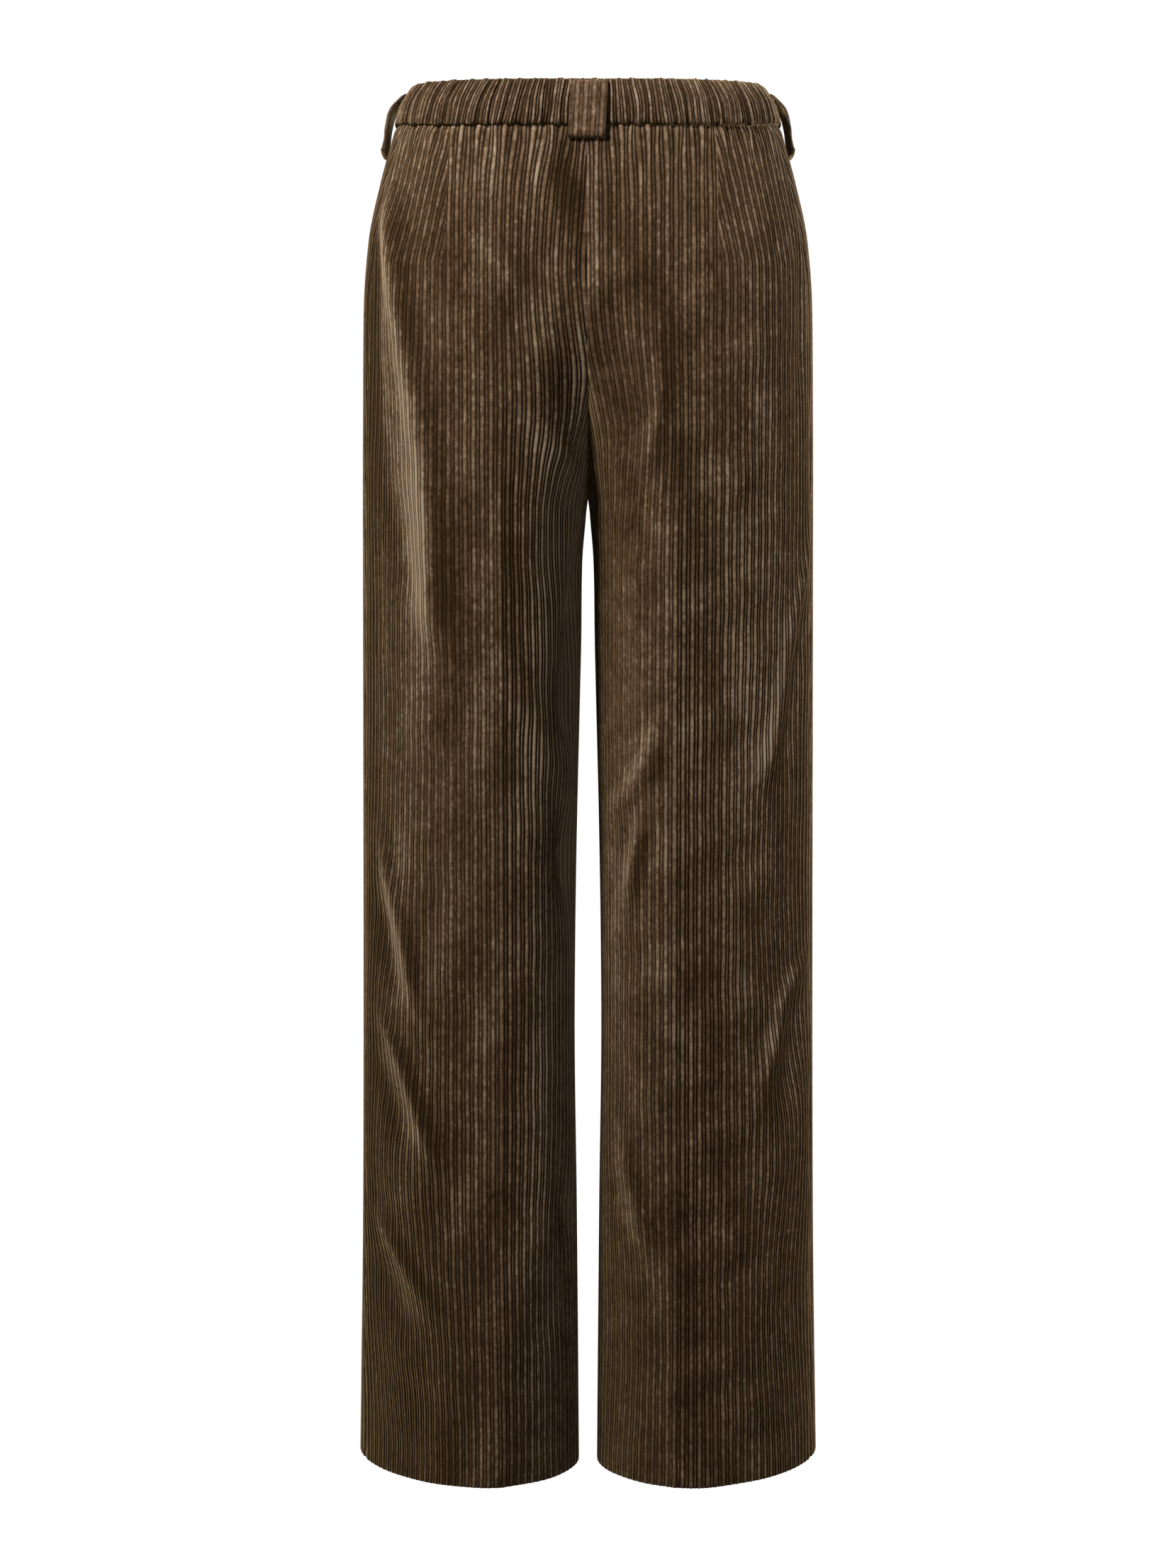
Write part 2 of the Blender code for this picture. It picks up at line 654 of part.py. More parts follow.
def add_belt_loops(material):
    add_belt_loop("belt_loop_back", material, FLAT_LOOP, lambda ring: 0.0)
    for half, side in SIDES.items():
        def at_side(ring, side=side):
            return side * (ring.side_seam + LOOP_PAST_SIDE_SEAM)

        def at_front(ring, side=side):
            return side * (ring.front_crease + LOOP_PAST_FRONT_CREASE)

        add_belt_loop(f"belt_loop_side_{half}", material, ARCHED_LOOP, at_side)
        add_belt_loop(f"belt_loop_front_{half}", material, ARCHED_LOOP, at_front)


def fly_reach(depth):
    """Width of the fly flap at a depth: straight, then rounding in to the centre front."""
    fall = max(depth - FLY_STRAIGHT, 0.0) / (FLY_LENGTH - FLY_STRAIGHT)
    return FLY_WIDTH * math.sqrt(max(1 - fall**2, 0.0)) + SEAM_GAP


def add_fly(material):
    """The fly flap lies on the right front panel: the panel's own points, moved out."""
    depths = [2 * SEAM_GAP] + [depth for depth in ROWS if 0 < depth < FLY_STRAIGHT]
    depths += [FLY_STRAIGHT + (FLY_LENGTH - FLY_STRAIGHT) * part for part in FLY_ROUNDING]
    columns = math.ceil(FLY_WIDTH / COLUMN)

    def place(index, row, thickness, ribbed):
        most = fly_reach(depths[row])
        reach = index * COLUMN
        clear = 0 < reach < most - SNAP
        reach = reach if reach < most - SNAP else most
        above = max(depth for depth in ROWS if depth <= depths[row])
        below = min(depth for depth in ROWS if depth > depths[row])
        ends = []
        for depth in (above, below):
            ring = ring_at(depth)
            length = ring.total - SEAM_GAP / 2 - reach
            lift = panel_lift("right", "front", ring, length) + RIB_HEIGHT / 2 + FLY_STANDOFF
            lift += thickness + (rib(index) if ribbed and clear else 0.0)
            ends.append(cloth_point("right", ring, length, lift))
        return ends[0].lerp(ends[1], (depths[row] - above) / (below - above))

    def outer(index, row):
        return place(index, row, FLY_THICK, True)

    def inner(index, row):
        return place(index, row, 0.0, False)

    add_wall("fly_flap", material, columns, len(depths) - 1, outer, inner,
             set(range(columns + 1)), set(range(len(depths))))


def add_button(material):
    """A dished disc with a rounded rim, turned about its own axis, on the waistband's lap."""
    shape = bmesh.new()
    half = BUTTON_THICK / 2
    points = []
    for place in BUTTON_PROFILE:
        points.append(shape.verts.new((BUTTON_RADIUS * place.reach, 0.0, half * place.rise)))
    edges = [shape.edges.new(pair) for pair in zip(points, points[1:])]
    bmesh.ops.spin(shape, geom=points + edges, cent=(0, 0, 0), axis=(0, 0, 1),
                   angle=2 * math.pi, steps=BUTTON_SIDES, use_merge=True)
    bmesh.ops.remove_doubles(shape, verts=shape.verts, dist=MERGE_DISTANCE)
    button = add_object("waist_button", shape, material)
    ring = ring_at(band_depth(0.5))
    point, outward = ring.place(ring.total - BAND_LAP / 2)
    seat = BAND_FRONT_LIFT + RIB_HEIGHT / 2 + BAND_LAP_RISE + SEAM_GAP + half
    point = point + outward * seat
    facing = Vector((outward.x, outward.y, 0.0))
    button.location = (point.x, point.y, level(ring.depth, point.y))
    button.rotation_mode = "QUATERNION"
    button.rotation_quaternion = facing.to_track_quat("Z", "Y")


def main():
    for thing in list(bpy.data.objects):
        bpy.data.objects.remove(thing)
    corduroy = add_material("corduroy", CORDUROY_COLOUR, CORDUROY_ROUGHNESS)
    horn = add_material("button", HORN_COLOUR, HORN_ROUGHNESS)
    for half in SIDES:
        for face in ("back", "front"):
            add_panel(half, face, corduroy)
        add_front_band(half, corduroy)
    add_back_band(corduroy)
    add_belt_loops(corduroy)
    add_fly(corduroy)
    add_button(horn)


main()
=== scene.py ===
import math
from collections import namedtuple

import bmesh
import bpy
import numpy as np
from mathutils import Matrix, Vector


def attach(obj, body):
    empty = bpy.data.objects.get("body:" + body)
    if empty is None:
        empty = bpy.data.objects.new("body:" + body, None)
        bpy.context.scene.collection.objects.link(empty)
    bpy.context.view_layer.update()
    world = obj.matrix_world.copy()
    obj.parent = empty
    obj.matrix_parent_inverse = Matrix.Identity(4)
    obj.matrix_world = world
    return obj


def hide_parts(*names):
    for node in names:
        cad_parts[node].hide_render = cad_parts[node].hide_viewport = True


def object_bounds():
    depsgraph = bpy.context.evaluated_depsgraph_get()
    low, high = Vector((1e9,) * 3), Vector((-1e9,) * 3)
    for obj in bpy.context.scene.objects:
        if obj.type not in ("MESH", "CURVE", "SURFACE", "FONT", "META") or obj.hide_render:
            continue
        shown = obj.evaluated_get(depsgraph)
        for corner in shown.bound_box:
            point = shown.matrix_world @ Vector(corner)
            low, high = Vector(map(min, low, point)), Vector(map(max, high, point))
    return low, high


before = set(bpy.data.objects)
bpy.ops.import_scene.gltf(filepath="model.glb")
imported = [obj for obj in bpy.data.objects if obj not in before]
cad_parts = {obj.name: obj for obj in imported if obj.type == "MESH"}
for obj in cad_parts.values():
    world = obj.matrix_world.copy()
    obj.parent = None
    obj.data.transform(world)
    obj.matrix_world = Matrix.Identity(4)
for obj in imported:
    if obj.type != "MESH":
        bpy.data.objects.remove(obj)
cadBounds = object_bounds()

# Metres. The wearer faces -Y, their left leg is at +X, and the origin is the middle of the waist.
# A depth is measured down from the waist seam. "around" is measured along the cloth from the
# pressed back crease, outwards past the side seam and on to the front.
form = {
    "bandHeight": 0.035,
    "crotchDepth": 0.2925,
    "hemDepth": 1.080,
    "frontDip": 0.010,  # how much lower the waist is in front
    "dipStartY": 0.05,
    "dipSpanY": 0.14,
    "dipFadeDepth": 0.16,
    "sideRise": 0.0062,
    "sideRiseSpanY": 0.05,
    "seatStart": 0.120,
    "seatCurve": 2.0,
    "frontCurve": 2.6,
    "cleft": 0.003,
    "roundness": 2.12,
    "hemRoundness": 1.78,  # towards the hem the legs' section draws in a little at its quarters
    "hemMiddleRoundness": 1.76,
    "hemCrownShift": 0.012,
    "hemShapeStart": 0.80,
    "arcSteps": 36,
    "seamGap": 0.0003,
}
sideSigns = {"left": 1.0, "right": -1.0}


def rowsOf(names, *rows, **settings):  # a table whose columns have names
    kind = namedtuple("row", names, **settings)
    return [kind(*row) for row in rows]


# The plan of one half at each depth, as in the solids.
sections = rowsOf(
    "depth side back backX sideY front frontX edge edgeY",
    (-0.0350, 0.1395, 0.0955, 0.035, -0.004, 0.0900, 0.035, 0.0000, 0.012),
    (-0.0175, 0.1482, 0.0985, 0.038, -0.005, 0.0930, 0.037, 0.0000, 0.012),
    (0.0000, 0.1522, 0.0995, 0.040, -0.005, 0.0940, 0.040, 0.0000, 0.012),
    (0.0450, 0.1650, 0.1090, 0.052, -0.006, 0.0995, 0.048, 0.0000, 0.012),
    (0.0900, 0.1748, 0.1168, 0.060, -0.006, 0.1035, 0.056, 0.0000, 0.012),
    (0.1400, 0.1788, 0.1220, 0.065, -0.007, 0.1060, 0.066, 0.0000, 0.012),
    (0.2000, 0.1798, 0.1240, 0.067, -0.009, 0.1070, 0.080, 0.0000, 0.012),
    (0.2925, 0.1808, 0.1200, 0.068, -0.012, 0.1070, 0.098, 0.0002, 0.012),
    (0.3400, 0.1811, 0.1165, 0.068, -0.013, 0.1055, 0.104, 0.0036, 0.013),
    (0.4600, 0.1818, 0.1090, 0.068, -0.015, 0.1010, 0.112, 0.0072, 0.015),
    (0.6330, 0.1827, 0.1030, 0.068, -0.016, 0.0970, 0.118, 0.0107, 0.017),
    (0.7200, 0.1832, 0.1010, 0.068, -0.016, 0.0960, 0.119, 0.0113, 0.017),
    (0.8660, 0.1845, 0.1000, 0.068, -0.016, 0.0980, 0.120, 0.0096, 0.018),
    (1.0800, 0.1884, 0.1000, 0.069, -0.016, 0.1020, 0.121, 0.0079, 0.018),
)
seams = rowsOf(
    "depth seamBack inseamShift creaseX frontCreaseX",
    (-0.0350, 0.034, 0.000, 0.068, 0.084),
    (0.0000, 0.036, 0.000, 0.068, 0.085),
    (0.1400, 0.040, 0.000, 0.068, 0.096),
    (0.2925, 0.036, 0.000, 0.068, 0.108),
    (0.5500, 0.030, 0.026, 0.068, 0.116),
    (1.0800, 0.028, 0.030, 0.069, 0.120),
)


def smoothStep(value):
    value = np.clip(value, 0.0, 1.0)
    return value * value * (3 - 2 * value)


def fade(value, start, span):  # 0 up to the start, and 1 from the end of the span on
    return smoothStep((value - start) / span)


def bell(gap, width):
    return np.exp(-((gap / width) ** 2))


def sharedSlope(one, other):
    return 0.0 if one * other <= 0 else 2 * one * other / (one + other)


def readTable(table, depth):  # a smooth curve through the table's own rows
    last = len(table) - 1
    depth = min(max(depth, table[0].depth), table[last].depth)
    index = 0
    while index < last - 1 and table[index + 1].depth < depth:
        index += 1
    low, high = table[index], table[index + 1]
    before, after = table[max(index - 1, 0)], table[min(index + 2, last)]
    span, reachIn, reachOut = high.depth - low.depth, low.depth - before.depth, after.depth - high.depth
    part = (depth - low.depth) / span
    values = []
    for first, start, end, beyond in zip(before, low, high, after):
        slope = (end - start) / span
        slopeIn = (start - first) / reachIn if reachIn else slope
        slopeOut = (beyond - end) / reachOut if reachOut else slope
        value = (2 * part**3 - 3 * part**2 + 1) * start + (3 * part**2 - 2 * part**3) * end
        value += (part**3 - 2 * part**2 + part) * sharedSlope(slopeIn, slope) * span
        values.append(value + (part**3 - part**2) * sharedSlope(slope, slopeOut) * span)
    return low._make(values)


def riseMiddle(depth, reach, edgeY, power):  # y of the centre seam, curving in under the crotch
    fall = (depth - form["seatStart"]) / (form["crotchDepth"] - form["seatStart"])
    return edgeY + (reach - edgeY) * (1 - min(max(fall, 0.0), 1.0) ** power)


def middleArc(edge, edgeY, crownX, crownY, tuck, roundness):
    turn = np.linspace(0, math.pi / 2, form["arcSteps"] + 1)
    power = 2 / roundness
    across = 1 - np.clip(np.cos(turn), 0, 1) ** power
    flat = 0.5 - 0.5 * np.cos(math.pi * across)
    rise = flat + (np.sin(turn) ** power - flat) * tuck
    return np.column_stack([edge + (crownX - edge) * across, edgeY + (crownY - edgeY) * rise])


def sideArc(crownX, crownY, side, sideY, roundness):
    turn = np.linspace(0, math.pi / 2, form["arcSteps"] + 1)[1:]
    across = np.sin(turn) ** (2 / roundness)
    along = np.clip(np.cos(turn), 0, 1) ** (2 / roundness)
    return np.column_stack([crownX + (side - crownX) * across, sideY + (crownY - sideY) * along])


class clothRing:  # the plan outline of the left half at one depth
    def __init__(self, depth):
        self.depth = depth
        plan, seam = readTable(sections, depth), readTable(seams, depth)
        self.isLeg = depth >= form["crotchDepth"]
        tuck = fade(depth, form["seatStart"], form["crotchDepth"] - form["seatStart"])
        cleft = form["cleft"] * smoothStep(depth / form["seatStart"])
        toHem = fade(depth, form["hemShapeStart"], form["hemDepth"] - form["hemShapeStart"])
        roundness = form["roundness"] + (form["hemRoundness"] - form["roundness"]) * toHem
        middleRoundness = 2.0 + (form["hemMiddleRoundness"] - 2.0) * toHem
        halves = []
        for crownX, reach, cut, curve in ((plan.backX + form["hemCrownShift"] * toHem, plan.back, cleft, "seatCurve"),
                                          (plan.frontX, -plan.front, 0.0, "frontCurve")):
            edgeY = riseMiddle(depth, reach - cut, plan.edgeY, form[curve])
            halves.append(np.vstack([middleArc(plan.edge, edgeY, crownX, reach, tuck, middleRoundness),
                                     sideArc(crownX, reach, plan.side, plan.sideY, roundness)]))
        self.points = np.vstack([halves[0], halves[1][-2::-1]])
        steps = np.linalg.norm(np.diff(self.points, axis=0), axis=1)
        self.lengths = np.concatenate([[0.0], np.cumsum(steps)])
        self.total = float(self.lengths[-1])
        ways = np.empty_like(self.points)
        ways[1:-1] = self.points[2:] - self.points[:-2]
        ways[0] = self.points[1] - self.points[0]
        ways[-1] = self.points[-1] - self.points[-2]
        if self.isLeg:
            ways[0] = ways[-1] = self.points[1] - self.points[-2]
        self.ways = ways / np.linalg.norm(ways, axis=1)[:, None]
        widest = len(halves[0]) - 1
        self.crease = self.lengthAtX(seam.creaseX, 0, widest)
        self.frontCrease = self.lengthAtX(seam.frontCreaseX, widest, len(self.points) - 1)
        self.sideSeam = float(self.lengths[widest]) - seam.seamBack
        self.inseam = -seam.inseamShift

    def lengthAtX(self, across, first, last):
        for index in range(first, last):
            start, end = self.points[index][0], self.points[index + 1][0]
            if (start - across) * (end - across) <= 0 and start != end:
                step = self.lengths[index + 1] - self.lengths[index]
                return float(self.lengths[index] + (across - start) / (end - start) * step)
        return float(self.lengths[first])

    def place(self, length):  # plan points and outward directions at lengths from the centre back
        length = np.asarray(length, float)
        side = np.ones_like(length)
        if self.isLeg:
            length = np.mod(length, self.total)
        else:
            side = np.where(length < 0, -1.0, 1.0)
            length = np.minimum(np.abs(length), self.total)
        x, y = (np.interp(length, self.lengths, self.points[:, axis]) for axis in (0, 1))
        wayX, wayY = (np.interp(length, self.lengths, self.ways[:, axis]) for axis in (0, 1))
        size = np.hypot(wayX, wayY)
        return x * side, y, -wayY / size * side, wayX / size


rings = {}


def ringAt(depth):
    depth = float(depth)
    if depth not in rings:
        rings[depth] = clothRing(depth)
    return rings[depth]


def level(depth, y):  # z at a depth: the waist dips in front and its seam rises at the sides
    dip = form["frontDip"] * smoothStep((form["dipStartY"] - y) / form["dipSpanY"])
    rise = form["sideRise"] * bell(y, form["sideRiseSpanY"])
    dip = dip - rise * smoothStep(1 + depth / form["bandHeight"])
    return -form["bandHeight"] / 2 - depth - dip * (1 - smoothStep(depth / form["dipFadeDepth"]))


def pointsOf(depth, x, y, fall=0.0):
    return np.column_stack([x, y, level(depth, y) - fall])


# Corduroy: a wide wale and a narrow one to each pair, with a groove on either side.
cloth = {
    "wall": 0.0020,
    "pairPitch": 0.0068,
    "wideShare": 0.60,
    "creaseShare": 0.30,  # the pressed crease runs down the middle of a wide wale
    "waleHeight": 0.0012,
    "narrowHeight": 0.75,  # of the wide wale's height
    "crest": 0.65,  # under 1 the wales are fuller than a wave
    "seamDip": 0.0011,
    "seamDipWidth": 0.0030,
    "waleFadeAtSeam": 0.0016,
    "meet": 0.008,  # how near the centre seam the halves are drawn together, and how far they lap
    "lap": 0.0005,
    "weld": 0.00002,
}
# Where the mesh has columns inside a pair, in shares of its pitch.
waleColumns = [0.0, 0.055, 0.16, 0.30, 0.44, 0.545, 0.60, 0.665, 0.80, 0.935]


def waleProfile(turn):  # 0 in a groove to 1 on a wale's crest; turn counts the pairs of wales
    share = np.mod(turn, 1.0)
    isWide = share < cloth["wideShare"]
    within = np.where(isWide, share / cloth["wideShare"], (share - cloth["wideShare"]) / (1 - cloth["wideShare"]))
    rounded = np.clip(np.sin(math.pi * within), 0, 1) ** cloth["crest"]
    return rounded * np.where(isWide, 1.0, cloth["narrowHeight"])


def waleColumnsBetween(low, high):  # the columns' places from low to high
    pitch, shift = cloth["pairPitch"], cloth["creaseShare"]
    first, last = math.floor(low / pitch + shift), math.ceil(high / pitch + shift)
    places = [(pair + share - shift) * pitch for pair in range(first, last) for share in waleColumns]
    return np.array(places + [(last - shift) * pitch])


def clothRow(turn, depth):  # where a row lies on its cloth
    return np.column_stack([(turn - cloth["creaseShare"]) * cloth["pairPitch"], depth + 0 * turn])


# Folds, each with its path of (around, depth) places, its width and its height, in millimetres.
# They are ridges, and hollows where the height is under 0.
foldTable = {
    "left": [
        # the long step down from the left hip
        ([(108, 45), (105, 68), (93, 120), (79, 172), (70, 216), (61, 260), (58, 312), (55, 368),
          (51, 412)], 15, 6.4),
        ([(134, 80), (133, 120), (130, 176), (120, 232), (103, 288), (85, 344), (76, 380)], 18, -4.2),
        # three more steps below it, from the side to the back of the leg
        ([(122, 552), (105, 588), (94, 620), (84, 648), (76, 680), (66, 704)], 9, 4),
        ([(136, 600), (116, 630), (103, 665), (93, 695)], 13, -4.5),
        ([(132, 692), (108, 712), (88, 740), (76, 768), (64, 796), (52, 824)], 8, 4.2),
        ([(133, 730), (109, 760), (93, 790), (79, 815)], 13, -4.5),
        ([(135, 860), (106, 880), (87, 904), (70, 924), (56, 944)], 9, 4.4),
        ([(138, 895), (110, 920), (88, 950), (66, 968)], 16, -5),
        # the left leg's inner side
        ([(2, 384), (-2, 404), (-13, 428), (-25, 460), (-41, 492), (-75, 515)], 12, 2.2),
        ([(-102, 320), (-94, 350), (-78, 410), (-72, 450), (-84, 490)], 18, -6),
        ([(-10, 250), (-11, 320), (-14, 380)], 7, -1.2),
        ([(-75, 530), (-70, 580), (-78, 625)], 17, -6.5),
        ([(-20, 222), (-45, 248), (-85, 275)], 10, 3.5),
        ([(-48, 175), (-60, 212), (-75, 240)], 13, -1.8),
        ([(9, 84), (-11, 116), (-33, 148)], 10, 2),
        ([(-68, 14), (-68, 70), (-70, 150)], 12, -3.2),
        ([(-56, 10), (-50, 34), (-55, 60)], 10, -3.6),
        ([(-30, 12), (-34, 30), (-44, 46)], 7, 1.4),
        ([(-62, 820), (-72, 900)], 14, -3),
        # the front
        ([(228, 320), (246, 470), (262, 600)], 14, 4.5),
        ([(250, 330), (268, 480), (282, 590)], 16, -3.5),
        ([(262, 700), (232, 830)], 14, 4.5),
        ([(380, 300), (345, 400), (320, 470)], 13, 5),
        ([(350, 800), (385, 930)], 15, -5),
    ],
    "right": [
        ([(-15, 140), (-12, 172), (-11, 200), (-15, 232), (-27, 276)], 6, 1.3),
        ([(150, 308), (136, 344), (117, 376), (102, 416), (93, 456), (84, 488), (69, 528)], 9, 3.4),
        ([(150, 370), (130, 400), (118, 440), (108, 480), (98, 520)], 12, -3.4),
        ([(150, 652), (126, 664), (102, 684), (93, 712), (85, 740), (73, 768)], 9, 3.6),
        ([(140, 690), (120, 705), (112, 735), (104, 765), (100, 790)], 16, -5.5),
        ([(-7, 440), (-14, 476), (-23, 496), (-39, 520), (-75, 540)], 10, 2.8),
        ([(-26, 520), (-32, 564), (-47, 624)], 8, 3.2),
        ([(-58, 776), (-47, 796), (-42, 824), (-33, 852), (-26, 880), (-12, 908)], 10, 2.6),
        ([(-66, 820), (-58, 870)], 10, -3),
        ([(129, 80), (129, 150), (129, 220)], 10, -3),
        ([(88, 60), (88, 124)], 4, -1.5),
        ([(-58, 12), (-60, 110), (-64, 180)], 9, 0.6),
        ([(-68, 10), (-68, 110), (-71, 180)], 5, -0.6),
        # the front
        ([(230, 300), (248, 430), (264, 540)], 13, 4.5),
        ([(208, 310), (226, 440), (240, 540)], 16, -3.5),
        ([(262, 620), (236, 760)], 15, 4.5),
        ([(385, 295), (350, 390), (330, 450)], 12, 5),
        ([(355, 640), (385, 760)], 15, -5),
    ],
}
# Where the cloth is pulled sideways, so that its wales bend, in millimetres.
pullColumns = "around depth wide tall shift"
pulls = {
    "left": rowsOf(
        pullColumns,
        (-36, 0, 30, 34, -7), (10, 0, 30, 34, -3), (-50, 110, 36, 50, 4), (-66, 215, 40, 45, -10),
        (-56, 310, 36, 50, 6), (105, 820, 45, 60, 5), (140, 1060, 85, 150, -26), (-60, 900, 40, 80, 6),
        (125, 460, 50, 140, -11),
    ),
    "right": rowsOf(
        pullColumns,
        (-36, 0, 30, 34, -2), (-56, 235, 42, 60, 10), (130, 590, 55, 170, -18), (115, 800, 38, 80, 5),
        (130, 930, 55, 90, -14), (-60, 950, 40, 110, 10),
    ),
}
drape = {
    "taper": 0.060,
    "reach": 3.2,
    "creaseHeight": 0.0011,
    "creaseWidth": 0.0042,
    "creaseStart": 0.22,
    "creaseFade": 0.10,
    "swell": 0.00045,  # the slow unevenness of hanging cloth, from waves of a width, height and phase
    "swellWaves": ((0.090, 0.085, 0.3), (-0.070, 0.120, 1.9), (0.150, 0.047, 4.4), (-0.052, 0.31, 5.2)),
    "swellPhase": {"left": 0.4, "right": 2.6},
    "swellStart": 0.03,
    "swellFade": 0.12,
    "forkGap": 0.0012,  # the inner legs stand a little apart under the crotch
    "forkWidth": 0.030,
    "forkFade": 0.008,
    "forkEnd": 0.34,
    "forkEndFade": 0.08,
    "paleSlope": 2.4,  # painted light: how much paler a slope is drawn where it turns to the wearer's left, towards the key light
}


def smoothPath(path, steps=6):  # a curve through a fold's places
    points = np.array([path[0]] + list(path) + [path[-1]], float) / 1000
    part = np.linspace(0, 1, steps, endpoint=False)[:, None]
    curve = []
    for index in range(1, len(points) - 2):
        a, b, c, d = points[index - 1:index + 3]
        curve.append(0.5 * (2 * b + (c - a) * part + (2 * a - 5 * b + 4 * c - d) * part**2
                            + (3 * b - a - 3 * c + d) * part**3))
    return np.vstack(curve + [points[-1:]])


folds = {half: [(smoothPath(path), width / 1000, height / 1000) for path, width, height in rows]
         for half, rows in foldTable.items()}


def besidePath(around, depth, path):  # distance to a path, and along it to its nearer end
    spot = np.column_stack([around, np.full(len(around), depth)])[:, None]
    way = path[1:] - path[:-1]
    span = np.linalg.norm(way, axis=1)
    part = np.clip(((spot - path[:-1]) * way).sum(2) / span**2, 0, 1)
    gap = np.linalg.norm(spot - path[:-1] - way * part[:, :, None], axis=2)
    near = gap.argmin(1)
    rows = np.arange(len(around))
    run = np.concatenate([[0.0], np.cumsum(span)])
    travelled = run[near] + part[rows, near] * span[near]
    return gap[rows, near], np.minimum(travelled, run[-1] - travelled)


def foldsAt(half, around, ring):
    lift = np.zeros_like(around)
    turns = (0.0, -ring.total, ring.total) if ring.isLeg else (0.0,)
    for curve, width, height in folds[half]:
        margin = drape["reach"] * width
        lowest, highest = curve.min(0) - margin, curve.max(0) + margin
        for turn in turns if lowest[1] < ring.depth < highest[1] else ():
            near = (around + turn > lowest[0]) & (around + turn < highest[0])
            if near.any():
                gap, endGap = besidePath(around[near] + turn, ring.depth, curve)
                lift[near] += height * bell(gap, width) * smoothStep((endGap + width) / drape["taper"])
    facing = ring.place(ring.crease + around)[3] ** 2  # the sides hang straighter
    swell = drape["swell"] * facing * fade(ring.depth, drape["swellStart"], drape["swellFade"])
    for wide, tall, phase in drape["swellWaves"]:
        turn = 2 * math.pi * (around / wide + ring.depth / tall)
        lift += swell * np.sin(turn + phase + drape["swellPhase"][half])
    return lift


def pressAt(depth):
    return fade(depth, drape["creaseStart"], drape["creaseFade"])


def creasesAt(around, ring):
    both = sum(bell(around - crease, drape["creaseWidth"]) for crease in (0.0, ring.frontCrease - ring.crease))
    return drape["creaseHeight"] * pressAt(ring.depth) * both


def forkAt(around, ring):
    toInseam = np.abs(np.mod(around + ring.crease + ring.total / 2, ring.total) - ring.total / 2)
    opens = fade(ring.depth, form["crotchDepth"], drape["forkFade"])
    shuts = fade(ring.depth, drape["forkEnd"], drape["forkEndFade"])
    return -drape["forkGap"] * opens * (1 - shuts) * bell(toInseam, drape["forkWidth"])


aroundSteps = np.arange(-0.20, 0.52, 0.002)
drapes = {}


def drapeAt(half, ring):  # the folds at one depth, how pale they are painted where their slopes face the key light, and the cloth's own length over them
    key = (half, ring.depth)
    if key not in drapes:
        lift = foldsAt(half, aroundSteps, ring)
        # painted light and shade: paler where a fold's slope faces the key light, darker where it faces away
        nap = -drape["paleSlope"] * sideSigns[half] * np.gradient(lift, aroundSteps)
        lift = lift + creasesAt(aroundSteps, ring) + forkAt(aroundSteps, ring)
        run = np.hypot(np.diff(aroundSteps), np.diff(lift))
        drapes[key] = (lift, nap, np.concatenate([[0.0], np.cumsum(run)]))
    return drapes[key]


def patch(row, around, depth):  # 1 at a row's place, fading to 0 around it
    return bell(1000 * around - row.around, row.wide) * bell(1000 * depth - row.depth, row.tall)


def pullAt(half, around, depth):
    return sum(pull.shift / 1000 * patch(pull, around, depth) for pull in pulls[half])


# Painted light and shade in a place, in millimetres: how much paler it is drawn (under 0, darker), how far its
# painted groove shade is filled in (under 0, it is deepened), and whether it ends at the pressed crease: 1 for only
# its outer side, -1 for only its inner side.
paintedShadeColumns = "around depth wide tall pale close side"
paintedShadePatches = {
    "left": rowsOf(
        paintedShadeColumns,
        (45, 440, 24, 200, 0.02, 0.3), (78, 380, 12, 110, 0.15, 0.1), (60, 250, 12, 90, 0.72, 0),
        (10, 270, 20, 40, 0.22, 0), (-44, 285, 16, 40, 0.7, -0.2), (-18, 285, 12, 30, -0.45, 0, -1),
        (55, 80, 20, 45, -0.28, 0), (8, 35, 12, 28, 0.32, 0), (90, 110, 10, 60, 0.25, 0),
        (125, 140, 14, 60, -0.4, -0.1), (-66, 145, 9, 35, 0.45, 0), (34, 450, 10, 120, -0.06, 0),
        (80, 900, 42, 150, -0.2, -0.3), (84, 1010, 44, 100, -0.42, -0.4), (93, 615, 11, 60, 0.6, 0),
        (34, 500, 12, 70, -0.22, 0), (10, 500, 9, 50, 0.28, 0), (155, 210, 16, 110, -0.45, -0.15),
        (144, 970, 18, 160, -0.2, -0.25), (-44, 790, 22, 320, 0.72, -0.1), (135, 500, 20, 600, -0.45, -0.25),
        (-8, 350, 24, 100, -0.3, -0.2, -1), (-50, 400, 34, 130, 0.95, -0.45, -1),
        (10, 390, 30, 120, -0.14, 0.1, 1), (-50, 800, 40, 300, 0.05, -0.15, -1),
        (20, 140, 90, 110, -0.04, 0.16), (-88, 600, 28, 460, 0.95, 0), (-74, 310, 22, 50, 0.7, 0),
        (-52, 42, 11, 24, -0.85, 0), (-34, 28, 8, 16, 0.5, 0), (10, 130, 40, 80, -0.12, 0),
        defaults=[0],
    ),
    "right": rowsOf(
        paintedShadeColumns,
        (6, 560, 12, 260, 0.22, 0), (30, 280, 12, 40, 0.15, 0), (40, 420, 50, 220, 0.02, 0, 1),
        (20, 160, 120, 120, -0.05, 0.2), (-40, 420, 28, 200, -0.08, 0.42), (-45, 280, 24, 80, -0.35, 0.15),
        (-76, 360, 16, 110, -0.3, 0.1), (-30, 150, 30, 80, -0.25, 0), (10, 210, 30, 90, -0.2, 0.1),
        (75, 380, 26, 180, 0.3, 0), (132, 500, 18, 600, -0.35, -0.2), (50, 490, 13, 180, 0.3, 0),
        (0, 500, 10, 50, 0.45, 0), (-64, 630, 12, 70, 0.35, 0), (-50, 960, 50, 150, -0.2, 0.1),
        defaults=[0],
    ),
}
